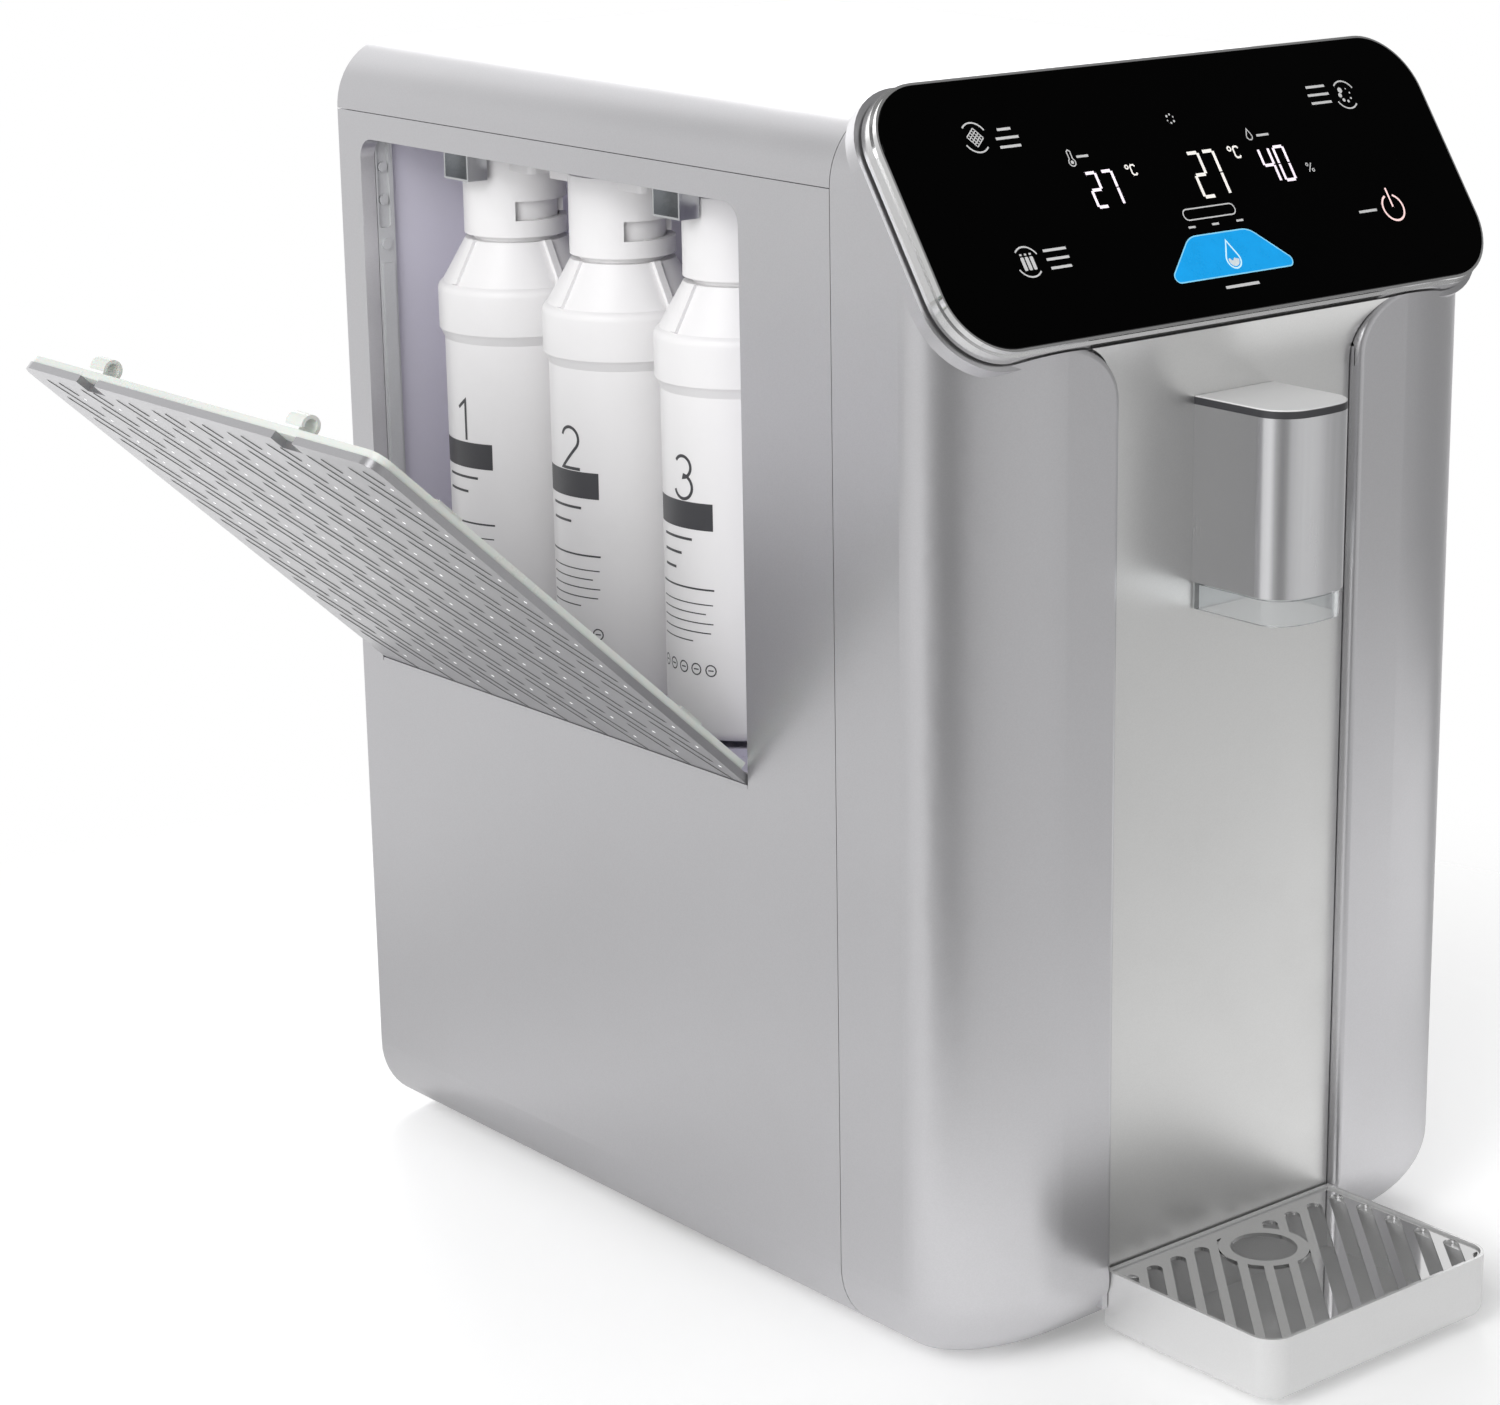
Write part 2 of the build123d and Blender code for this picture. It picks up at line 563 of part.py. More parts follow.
def tray_plan(inset=0.0):
    """Plan of the tray: square at the panel, rounded at the front."""
    with BuildSketch() as plan:
        with Locations((0, (TRAY_Y0 + TRAY_Y1) / 2)):
            Rectangle(TRAY_W - 2 * inset, TRAY_D - 2 * inset)
        fillet(plan.vertices().sort_by(Axis.Y)[:2], 10 - inset)
    return plan.sketch


with BuildPart() as drip_tray:
    with BuildSketch(PLAN.offset(TRAY_Z0)):
        add(tray_plan())
    extrude(amount=TRAY_Z1 - TRAY_Z0)
    bottom = drip_tray.faces().sort_by(Axis.Z)[0]
    fillet(bottom.edges().sort_by(Axis.Y)[:-1], 5)
    # thin rim, the grille's ledge and the water well
    with BuildSketch(PLAN.offset(TRAY_Z1 - LEDGE)):
        add(tray_plan(RIM))
    extrude(amount=LEDGE, mode=Mode.SUBTRACT)
    with BuildSketch(PLAN.offset(TRAY_Z0 + TRAY_T)):
        add(tray_plan(5.2))
    extrude(amount=TRAY_Z1, mode=Mode.SUBTRACT)
    # two arms that slide into the cabinet
    with BuildSketch(front_at(TRAY_Y1)):
        with Locations((-ARM_X, ARM_Z + ARM_T / 2), (ARM_X, ARM_Z + ARM_T / 2)):
            Rectangle(ARM_W, ARM_T)
    extrude(amount=-(ARM_END - TRAY_Y1))
    # feet that share the counter with the cabinet
    with BuildSketch(PLAN):
        with Locations((-42, TRAY_Y0 + 16), (42, TRAY_Y0 + 16), (-42, TRAY_Y1 - 14), (42, TRAY_Y1 - 14)):
            Circle(4)
    extrude(amount=TRAY_Z0 + 0.5)
save(drip_tray, "drip_tray")


def grille_openings():
    """Slanting slots, round at their rear ends, and the round hole in its ring."""
    along = Vector(-cos(radians(SLOT_TURN)), -sin(radians(SLOT_TURN)))
    right = GRILLE_X - SLOT_W / 2
    with BuildSketch() as openings:
        for i in range(15):
            start = Vector(SLOT_FIRST + SLOT_PITCH * i, GRILLE_Y1)
            near = max(SLOT_W / 2 / abs(along.Y), (start.X - right) / abs(along.X))
            far = min((start.X + TRAY_W / 2) / abs(along.X), (GRILLE_Y1 - TRAY_Y0) / abs(along.Y))
            if far > near + 1:
                with Locations(start + along * ((near + far) / 2)):
                    SlotCenterToCenter(far - near, SLOT_W, rotation=SLOT_TURN)
        add(tray_plan(RIM + 0.3 + SLOT_RIM), mode=Mode.INTERSECT)
        with Locations((0, HOLE_Y)):
            Circle(GRILLE_HOLE_R + HOLE_RING, mode=Mode.SUBTRACT)
            Circle(GRILLE_HOLE_R)
    return openings.sketch


with BuildPart() as drip_grille:
    with BuildSketch(PLAN.offset(TRAY_Z1 - LEDGE + 0.1)):
        add(tray_plan(RIM + 0.3))
        add(grille_openings(), mode=Mode.SUBTRACT)
    extrude(amount=GRILLE_T)
save(drip_grille, "drip_grille")

# --- filter door --------------------------------------------------------------
# The door's plane lies on the hinge axis: x runs forwards along the hinge, y up
# to the free edge and z outwards.
LEAN = radians(DOOR_ANGLE)
DOOR = Plane(origin=(X0 + HINGE_X, Y0, HINGE_Z), x_dir=(0, -1, 0), z_dir=(-cos(LEAN), 0, -sin(LEAN)))
DOOR_W = DOOR_Y1 - DOOR_Y0
DOOR_MID = -(DOOR_Y0 + DOOR_Y1) / 2
SKIN_OUT = HINGE_R            # outer face, level with the closed side
RIM_T, RIM_IN, RIM_W = 3.0, 0.8, 5.0
HOOK_Y = (303.0, 170.0)
NOTCH_W, NOTCH_H = 13.0, 6.0  # notch in the skin's free edge at each hook
CURL_R, CURL_T = 3.2, 1.3     # hook's centre-line radius and thickness
CURL_UP, CURL_IN = -3.6, 6.4  # its centre from the free edge and from the skin
SNAP_AT = (37.0, 171.0)       # snap bumps on the frame, from the free edge
HOLE_D, HOLE_COLS, HOLE_ROWS = 1.7, 9, 14
COL_FIRST, COL_PITCH, ROW_FIRST, ROW_PITCH = 27.0, 25.5, 15.6, 14.0
PIN_IN, PIN_OUT = 8.0, 3.2    # pin inside the door, and standing out of it


def door_outline(inset=0.0, foot=0.0):
    """Door outline on its own plane; the two free corners are rounded."""
    with BuildSketch() as shape:
        with Locations((DOOR_MID, (foot + DOOR_L - inset) / 2)):
            Rectangle(DOOR_W - 2 * inset, DOOR_L - inset - foot)
        fillet(shape.vertices().sort_by(Axis.Y)[-2:], 7 - inset)
    return shape.sketch


with BuildPart() as filter_door:
    with BuildSketch(DOOR.offset(SKIN_OUT - DOOR_T)):
        add(door_outline())
    extrude(amount=DOOR_T)
    # notches that leave room for the hooks
    with BuildSketch(DOOR.offset(SKIN_OUT - DOOR_T)):
        for y in HOOK_Y:
            with Locations((-y, DOOR_L - NOTCH_H / 2)):
                Rectangle(NOTCH_W, NOTCH_H)
    extrude(amount=DOOR_T, mode=Mode.SUBTRACT)
    with BuildSketch(front_at(DOOR_Y1)):
        with Locations((HINGE_X, HINGE_Z)):
            Circle(HINGE_R)
    extrude(amount=DOOR_W)
    with BuildSketch(front_at(DOOR_Y1)):
        with Locations((HINGE_X, HINGE_Z)):
            Circle(PIN_R)
    extrude(amount=DOOR_W, mode=Mode.SUBTRACT)
    # ventilation holes in rows and columns
    columns = [-DOOR_Y1 + COL_FIRST + COL_PITCH * i for i in range(HOLE_COLS)]
    rows = [DOOR_L - ROW_FIRST - ROW_PITCH * j for j in range(HOLE_ROWS)]
    with BuildSketch(DOOR.offset(SKIN_OUT - DOOR_T - 1)):
        with Locations(*[(x, y) for x in columns for y in rows]):
            Circle(HOLE_D / 2)
    extrude(amount=DOOR_T + 2, mode=Mode.SUBTRACT)
save(filter_door, "filter_door")

with BuildPart() as door_frame:
    with BuildSketch(DOOR.offset(SKIN_OUT - DOOR_T - RIM_T)):
        add(door_outline(RIM_IN, 6))
        add(door_outline(RIM_IN + RIM_W, 6 + RIM_W), mode=Mode.SUBTRACT)
    extrude(amount=RIM_T)
    # two hooks at the free edge, curled upwards, on small gusset plates
    for y in HOOK_Y:
        with BuildSketch(DOOR.offset(SKIN_OUT - DOOR_T - RIM_T)):
            with Locations((-y, DOOR_L - 11)):
                Rectangle(20, 14)
            with Locations((-y, DOOR_L - 12.5)):
                Rectangle(14, 5, mode=Mode.SUBTRACT)
        extrude(amount=RIM_T)
        centre = DOOR.from_local_coords(Vector(5 - y, DOOR_L + CURL_UP, SKIN_OUT - DOOR_T - CURL_IN))
        curl = Plane(origin=centre, x_dir=DOOR.y_dir, z_dir=(0, 1, 0))
        with BuildSketch(curl):
            Circle(CURL_R + CURL_T / 2)
            Circle(CURL_R - CURL_T / 2, mode=Mode.SUBTRACT)
            add(sector(6, 180, 140), mode=Mode.SUBTRACT)
            with Locations((-CURL_R, (1 - CURL_IN) / 2)):
                Rectangle(CURL_T, CURL_IN - 1)
        extrude(amount=10)
    # snap bumps on the rim towards the front
    with BuildSketch(DOOR.offset(SKIN_OUT - DOOR_T - RIM_T - 1)):
        for back in SNAP_AT:
            with Locations((-DOOR_Y0 - RIM_IN - RIM_W / 2, DOOR_L - back)):
                Rectangle(3, 12)
    extrude(amount=1.5)
save(door_frame, "door_frame")

for name, tip, way in (("door_pin_front", DOOR_Y0, 1), ("door_pin_rear", DOOR_Y1, -1)):
    with BuildPart() as door_pin:
        with BuildSketch(front_at(tip + way * PIN_IN)):
            with Locations((HINGE_X, HINGE_Z)):
                Circle(PIN_R)
        extrude(amount=way * (PIN_IN + PIN_OUT))
    save(door_pin, name)

# --- filter compartment behind the door ---------------------------------------
LINER_X0, LINER_X1 = -128.2, -57.0     # mouth, and face of the far wall
LINER_Y0, LINER_Y1 = 106.0, 356.0
LINER_Z0, LINER_Z1 = 204.0, 424.5
LINER_T = 2.0
JAMB_X1, JAMB_Y0 = -120.0, 353.2
CATCH_Z = (404.0, 418.0)

with BuildPart() as compartment_liner:
    with BuildSketch(PLAN.offset(LINER_Z0 - LINER_T)):
        with Locations(((LINER_X0 + LINER_X1 + LINER_T) / 2, (LINER_Y0 + LINER_Y1) / 2)):
            Rectangle(LINER_X1 + LINER_T - LINER_X0, LINER_Y1 - LINER_Y0 + 2 * LINER_T)
    extrude(amount=LINER_Z1 - LINER_Z0 + 2 * LINER_T)
    with BuildSketch(PLAN.offset(LINER_Z0)):
        with Locations(((LINER_X0 - 5 + LINER_X1) / 2, (LINER_Y0 + LINER_Y1) / 2)):
            Rectangle(LINER_X1 - LINER_X0 + 5, LINER_Y1 - LINER_Y0)
    extrude(amount=LINER_Z1 - LINER_Z0, mode=Mode.SUBTRACT)
    # the outer corner under the cover follows the cabinet's rounding
    with BuildSketch(front_at(LINER_Y0 - 10)):
        with Locations((-W / 2 - 20, Z1 + 20)):
            Rectangle(200, 200)
        add(outline(T + 0.3), mode=Mode.SUBTRACT)
    extrude(amount=-(LINER_Y1 - LINER_Y0 + 20), mode=Mode.SUBTRACT)
    # shallow rounds that keep the cartridges upright
    with BuildSketch(PLAN.offset(LINER_Z0)):
        for y in CART_Y:
            with Locations((CART_X, y)):
                Circle(26)
                Circle(24, mode=Mode.SUBTRACT)
    extrude(amount=3)
save(compartment_liner, "compartment_liner")

with BuildPart() as jamb_strip:
    with BuildSketch(front_at(JAMB_Y0)):
        with Locations(((LINER_X0 + JAMB_X1) / 2, (208 + 422) / 2)):
            Rectangle(JAMB_X1 - LINER_X0 - 0.2, 422 - 208)
    extrude(amount=-(LINER_Y1 - JAMB_Y0))
    # recess with two screws above, one round screw, a raised strip below
    with BuildSketch(front_at(JAMB_Y0)):
        with Locations((-124.6, 397)):
            RectangleRounded(5.4, 34, 1.5)
    extrude(amount=-1.2, mode=Mode.SUBTRACT)
    with BuildSketch(front_at(JAMB_Y0)):
        with Locations((-124.2, 291)):
            RectangleRounded(5.6, 150, 1.2)
    extrude(amount=0.8)
    with BuildSketch(front_at(JAMB_Y0 + 1.2)):
        with Locations((-124.6, 404), (-124.6, 391)):
            Circle(2.0)
    extrude(amount=1.2)
    with BuildSketch(front_at(JAMB_Y0)):
        with Locations((-124.6, 373.5)):
            Circle(2.2)
    extrude(amount=0.9)
save(jamb_strip, "jamb_strip")

for name, y in (("door_catch_rear", HOOK_Y[0]), ("door_catch_front", HOOK_Y[1])):
    with BuildPart() as door_catch:
        # folded spring-steel box, open towards the door, on a hanging strap
        with BuildSketch(front_at(y + 8)):
            with Locations((-119.5, sum(CATCH_Z) / 2)):
                Rectangle(9, CATCH_Z[1] - CATCH_Z[0])
        extrude(amount=16)
        with BuildSketch(front_at(y + 7.2)):
            with Locations((-120.5, sum(CATCH_Z) / 2)):
                Rectangle(9, CATCH_Z[1] - CATCH_Z[0] - 1.6)
        extrude(amount=14.4, mode=Mode.SUBTRACT)
        with BuildSketch(front_at(y + 4)):
            with Locations((-115.6, (CATCH_Z[1] + LINER_Z1) / 2 - 0.5)):
                Rectangle(1.2, LINER_Z1 - CATCH_Z[1] + 1)
        extrude(amount=8)
    save(door_catch, name)

with BuildPart() as filter_bracket:
    # channel under the liner's ceiling that carries the three filter heads
    with BuildSketch(PLAN.offset(LINER_Z1 - 4)):
        with Locations((CART_X, (LINER_Y0 + LINER_Y1) / 2)):
            Rectangle(34, LINER_Y1 - LINER_Y0 - 2)
    extrude(amount=4)
    with BuildSketch(PLAN.offset(LINER_Z1 - 10)):
        for x in (-1, 1):
            with Locations((CART_X + x * 16.2, (LINER_Y0 + LINER_Y1) / 2)):
                Rectangle(1.6, LINER_Y1 - LINER_Y0 - 2)
    extrude(amount=6)
save(filter_bracket, "filter_bracket")

# --- filter heads and cartridges ----------------------------------------------
SOCKET_R = 17.0               # bore of the head's skirt
BOSS_R = 16.5                 # cartridge neck
LUG_R, LUG_HALF = 18.6, 12.0  # bayonet lugs and half the angle that each spans
GROOVE_R = 18.9               # groove inside the head's skirt that the lugs run in
SKIRT_Z = (381.0, 407.0)
WINDOW_Z = (387.5, 395.0)
WINDOW_TURN = -22.0           # turn of the whole bayonet about the head
HEAD_Z1 = 420.2
RIB_T = 3.0                   # ribs on the cartridge's shoulder
TURN = 90.0                   # quarter turn from locked to free


def filter_head(y):
    """Hanging head: skirt with a bayonet window, block with ports front and rear."""
    at = PLAN.offset(0)
    at.origin = at.origin + Vector(CART_X, y, 0)
    with BuildPart() as head:
        with BuildSketch(at.offset(SKIRT_Z[0])):
            Circle(SKIRT_R)
        extrude(amount=SKIRT_Z[1] - SKIRT_Z[0] + 4)
        with BuildSketch(at.offset(SKIRT_Z[0])):
            Circle(SOCKET_R)
        extrude(amount=SKIRT_Z[1] - SKIRT_Z[0], mode=Mode.SUBTRACT)
        free, sweep = WINDOW_TURN - TURN - LUG_HALF - 1, TURN + 2 * LUG_HALF + 2
        for side in (0, 180):
            with BuildSketch(at.offset(WINDOW_Z[0])):
                add(sector(GROOVE_R, side + free, sweep))
            extrude(amount=WINDOW_Z[1] - WINDOW_Z[0], mode=Mode.SUBTRACT)
            # entry slot from below at the free end of the groove
            with BuildSketch(at.offset(SKIRT_Z[0])):
                add(sector(GROOVE_R, side + free, 2 * LUG_HALF + 2))
            extrude(amount=WINDOW_Z[0] - SKIRT_Z[0], mode=Mode.SUBTRACT)
        # one of the two grooves is open as a window
        with BuildSketch(at.offset(WINDOW_Z[0])):
            add(sector(30, free, sweep))
        extrude(amount=WINDOW_Z[1] - WINDOW_Z[0], mode=Mode.SUBTRACT)
        with BuildSketch(at.offset(SKIRT_Z[1])):
            RectangleRounded(26, 2 * 30, 3)
        extrude(amount=HEAD_Z1 - SKIRT_Z[1])
        # push-fit ports towards the neighbours
        with BuildSketch(Plane(origin=at.origin + Vector(0, -34, 413.6), x_dir=(1, 0, 0), z_dir=(0, 1, 0))):
            Circle(5)
        extrude(amount=68)
    return head


def filter_cartridge(y):
    """Cartridge: body, collar, shoulder and bayonet neck with two lugs."""
    at = PLAN.offset(0)
    at.origin = at.origin + Vector(CART_X, y, 0)
    with BuildPart() as cartridge:
        with BuildSketch(Plane(origin=at.origin, x_dir=(1, 0, 0), z_dir=(0, -1, 0))):
            with BuildLine():
                Polyline((0, CART_Z0), (CART_R - 4, CART_Z0))
                CenterArc((CART_R - 4, CART_Z0 + 4), 4, 270, 90)
                Polyline((CART_R, CART_Z0 + 4), (CART_R, COLLAR_Z[0] - 3), (COLLAR_R - 0.6, COLLAR_Z[0]),
                         (COLLAR_R, COLLAR_Z[0] + 1), (COLLAR_R, COLLAR_Z[1] - 4))
                CenterArc((COLLAR_R - 4, COLLAR_Z[1] - 4), 4, 0, 60)
                Polyline((COLLAR_R - 2, COLLAR_Z[1] - 4 + 4 * sin(radians(60))), (20.0, NECK_Z),
                         (BOSS_R, NECK_Z), (BOSS_R, SKIRT_Z[1] - 1.5), (BOSS_R - 3, SKIRT_Z[1] - 0.5),
                         (0, SKIRT_Z[1] - 0.5), (0, CART_Z0))
            make_face()
        revolve(axis=Axis(at.origin, (0, 0, 1)))
        for side in (0, 180):
            with BuildSketch(at.offset(WINDOW_Z[0] + 1)):
                add(sector(LUG_R, WINDOW_TURN + side - LUG_HALF, 2 * LUG_HALF))
            extrude(amount=WINDOW_Z[1] - WINDOW_Z[0] - 2)
        # four broad ribs on the shoulder
        for turn in (0, 90, 180, 270):
            out = Vector(cos(radians(turn)), sin(radians(turn)), 0)
            with BuildSketch(Plane(origin=at.origin, x_dir=out, z_dir=out.cross(Vector(0, 0, 1)))):
                with BuildLine():
                    Polyline((18, 366), (28.5, 362), (30.6, 363.2), (21.3, 379.6), (18, 379), close=True)
                make_face()
            extrude(amount=RIB_T / 2, both=True)
    return cartridge


for i, y in enumerate(CART_Y, start=1):
    save(filter_head(y), f"filter_head_{i}")
    save(filter_cartridge(y), f"filter_cartridge_{i}")

# --- base, rear panel and feet ------------------------------------------------
PAN_X = 107.0
PAN_Z1 = Z0 + 2 * T + 0.1
REAR_Y = 363.5
INTAKE = (38.0, 336.0)        # centre of the air intake in the rear panel
INTAKE_W, INTAKE_H = 152.0, 168.0
DRAIN = (-40.0, 30.0)
INLET = (92.0, 42.0)
FOOT_R = 10.0

with BuildPart() as base_pan:
    # plate between the side panels' flanges, and a wider plate on top of them
    with BuildSketch(PLAN.offset(Z0)):
        with Locations((0, (SHELL_Y0 + REAR_Y) / 2)):
            Rectangle(2 * (FLANGE_X - GAP), REAR_Y - SHELL_Y0)
    extrude(amount=T + 0.1)
    with BuildSketch(PLAN.offset(Z0 + T + 0.1)):
        with Locations((0, (SHELL_Y0 + REAR_Y) / 2)):
            Rectangle(2 * PAN_X, REAR_Y - SHELL_Y0 - 1)
    extrude(amount=T)
    # ribs that stiffen the plate
    with BuildSketch(PLAN.offset(PAN_Z1)):
        with Locations((0, 178), (0, 286)):
            Rectangle(2 * PAN_X - 40, 2)
    extrude(amount=3)
save(base_pan, "base_pan")

with BuildPart() as rear_panel:
    with BuildSketch(front_at(REAR_Y)):
        add(outline(T + 0.4))
        with Locations((0, Z0)):
            Rectangle(W, 11, mode=Mode.SUBTRACT)
        with Locations(INTAKE):
            RectangleRounded(INTAKE_W + 1, INTAKE_H + 1, 4, mode=Mode.SUBTRACT)
        with Locations(DRAIN):
            Circle(12, mode=Mode.SUBTRACT)
        with Locations(INLET):
            Rectangle(29, 22, mode=Mode.SUBTRACT)
    extrude(amount=-T)
    # ribs inside the panel
    with BuildSketch(front_at(REAR_Y)):
        with Locations((0, 235), (0, 130)):
            Rectangle(W - 60, 2)
    extrude(amount=3)
save(rear_panel, "rear_panel")

for name, x, y in (("foot_front_left", -80, 92), ("foot_front_right", 80, 92),
                   ("foot_rear_left", -80, 340), ("foot_rear_right", 80, 340)):
    with BuildPart() as foot:
        with BuildSketch(PLAN):
            with Locations((x, y)):
                Circle(FOOT_R)
        extrude(amount=FOOT)
        chamfer(foot.faces().sort_by(Axis.Z)[0].edges(), 0.8)
    save(foot, name)

# --- air path: intake, heat exchangers and fan --------------------------------
with BuildPart() as air_grille:
    with BuildSketch(front_at(352)):
        with Locations(INTAKE):
            RectangleRounded(INTAKE_W, INTAKE_H, 3.5)
            Rectangle(INTAKE_W - 5, INTAKE_H - 5, mode=Mode.SUBTRACT)
    extrude(amount=-15.2)
    with BuildSketch(front_at(361)):
        with Locations(INTAKE):
            with GridLocations(1, 10.9, 1, 15):
                Rectangle(INTAKE_W - 4, 2.2)
            with GridLocations(49, 1, 2, 1):
                Rectangle(2.2, INTAKE_H - 4)
    extrude(amount=-5)
    # finger grip
    with BuildSketch(front_at(359)):
        with Locations((INTAKE[0], INTAKE[1] + INTAKE_H / 2 - 9)):
            RectangleRounded(40, 14, 4)
    extrude(amount=-7)
    with BuildSketch(front_at(360.5)):
        with Locations((INTAKE[0], INTAKE[1] + INTAKE_H / 2 - 9)):
            RectangleRounded(36, 10, 3)
    extrude(amount=-8, mode=Mode.SUBTRACT)
save(air_grille, "air_grille")

with BuildPart() as air_filter:
    with BuildSketch(front_at(352.5)):
        with Locations(INTAKE):
            Rectangle(INTAKE_W - 6, INTAKE_H - 6)
    extrude(amount=-6)
save(air_filter, "air_filter")

CORE_W, CORE_H, CORE_D = 130.0, 156.0, 22.0


def heat_exchanger(y):
    """Finned core between two end plates, with return bends on both sides."""
    x, z = INTAKE
    with BuildPart() as exchanger:
        with BuildSketch(front_at(y)):
            with Locations((x, z)):
                Rectangle(CORE_W, CORE_H)
        extrude(amount=-CORE_D)
        with BuildSketch(front_at(y - 1)):
            for side in (-1, 1):
                with Locations((x + side * (CORE_W / 2 + 0.7), z)):
                    Rectangle(1.5, CORE_H + 4)
        extrude(amount=-(CORE_D + 2))
        # return bends, drawn as half rings standing on the end plates
        for side in (-1, 1):
            edge = x + side * (CORE_W / 2 + 1)
            for k in range(6):
                level = z - CORE_H / 2 + 20 + 23 * k + (0 if side < 0 else 3)
                with BuildSketch(Plane(origin=(X0 + edge, Y0 + y + CORE_D / 2, level + 7), x_dir=(0, 1, 0),
                                       z_dir=(1, 0, 0))):
                    Circle(3)
                axis = Axis((X0 + edge, Y0 + y + CORE_D / 2, level), (0, 1, 0))
                revolve(axis=axis, revolution_arc=180 * side)
    return exchanger


save(heat_exchanger(320), "evaporator")
save(heat_exchanger(288), "condenser")

DRIP_AT = (-20.0, 315.0)      # drip tube from the condensate tray to the raw tank

with BuildPart() as condensate_tray:
    with BuildSketch(PLAN.offset(238)):
        with Locations((INTAKE[0], 316)):
            RectangleRounded(158, 66, 4)
    extrude(amount=13)
    with BuildSketch(PLAN.offset(240)):
        with Locations((INTAKE[0], 316)):
            RectangleRounded(154, 62, 3)
    extrude(amount=12, mode=Mode.SUBTRACT)
    with BuildSketch(PLAN.offset(154)):
        with Locations(DRIP_AT):
            Circle(4)
    extrude(amount=85)
    with BuildSketch(PLAN.offset(153)):
        with Locations(DRIP_AT):
            Circle(2.6)
    extrude(amount=90, mode=Mode.SUBTRACT)
save(condensate_tray, "condensate_tray")

FAN_R = 66.0
FAN_Y = 276.0

with BuildPart() as fan_shroud:
    with BuildSketch(front_at(FAN_Y)):
        with Locations(INTAKE):
            RectangleRounded(150, 164, 5)
            Circle(FAN_R, mode=Mode.SUBTRACT)
    extrude(amount=-3)
    with BuildSketch(front_at(FAN_Y)):
        with Locations(INTAKE):
            Circle(FAN_R + 2.5)
            Circle(FAN_R, mode=Mode.SUBTRACT)
    extrude(amount=24)
    # three arms that hold the motor
    with BuildSketch(front_at(FAN_Y - 20)):
        with Locations(INTAKE):
            with PolarLocations((FAN_R + 17) / 2, 3, 90):
                Rectangle(FAN_R - 15, 7)
            Circle(20)
            Circle(15, mode=Mode.SUBTRACT)
    extrude(amount=4)
save(fan_shroud, "fan_shroud")

with BuildPart() as fan_motor:
    with BuildSketch(front_at(FAN_Y - 18)):
        with Locations(INTAKE):
            Circle(14.9)
    extrude(amount=18)
    with BuildSketch(front_at(FAN_Y - 18)):
        with Locations(INTAKE):
            Circle(2.5)
    extrude(amount=-16)
save(fan_motor, "fan_motor")

with BuildPart() as fan_rotor:
    with BuildSketch(front_at(FAN_Y - 16)):
        with Locations(INTAKE):
            Circle(19)
    extrude(amount=-13)
    # five pitched blades, trimmed to the rotor's swept circle
    for k in range(5):
        radial = Vector(cos(radians(72 * k)), 0, sin(radians(72 * k)))
        across = Vector(-sin(radians(72 * k)), 0, cos(radians(72 * k)))
        pitched = across * cos(radians(32)) + Vector(0, 1, 0) * sin(radians(32))
        root = Vector(X0 + INTAKE[0], Y0 + FAN_Y - 9.5, INTAKE[1]) + radial * 17
        with BuildSketch(Plane(origin=root, x_dir=pitched, z_dir=radial)):
            Rectangle(22, 1.6)
        extrude(amount=45)
    with BuildSketch(front_at(FAN_Y - 40)):
        with Locations(INTAKE):
            Circle(FAN_R - 4)
    extrude(amount=-60, mode=Mode.INTERSECT)
    with BuildSketch(front_at(FAN_Y - 30)):
        with Locations(INTAKE):
            Circle(2.6)
    extrude(amount=-40, mode=Mode.SUBTRACT)
save(fan_rotor, "fan_rotor")

# --- refrigeration circuit ----------------------------------------------------
COMPRESSOR = (66.0, 232.0)
COMPRESSOR_Z1 = 112.0
SUCTION_X, DISCHARGE_X = 60.0, 85.0
PIPE_R = 2.8
PIPE_Z = 262.0                # where the pipes leave the heat exchangers
PIPE_WALL_X = -48.5           # pipes run down between the liner and the tray

with BuildPart() as compressor:
    with BuildSketch(PLAN.offset(18)):
        with Locations(COMPRESSOR):
            Circle(42)
    extrude(amount=COMPRESSOR_Z1 - 18)
    fillet(compressor.edges().filter_by(GeomType.CIRCLE), 10)
    with BuildSketch(PLAN.offset(62)):
        with Locations(COMPRESSOR):
            Circle(43)
    extrude(amount=3)
    # mounting feet
    with BuildSketch(PLAN.offset(PAN_Z1 + 8)):
        with Locations(COMPRESSOR):
            Rectangle(92, 14)
            Rectangle(14, 92)
    extrude(amount=3)
    with BuildSketch(PLAN.offset(PAN_Z1)):
        with Locations(COMPRESSOR):
            with Locations((-40, 0), (40, 0), (0, -40), (0, 40)):
                Circle(6)
    extrude(amount=9)
save(compressor, "compressor")


def pipe(points, bend):
    """Round pipe along straight runs joined by equal bends."""
    corners = [Vector(X0 + x, Y0 + y, z) for x, y, z in points]
    with BuildPart() as tube:
        with BuildLine() as route:
            FilletPolyline(*corners, radius=bend)
        with BuildSketch(Plane(origin=corners[0], z_dir=(corners[1] - corners[0]).normalized())):
            Circle(PIPE_R)
        sweep(path=route.line)
    return tube


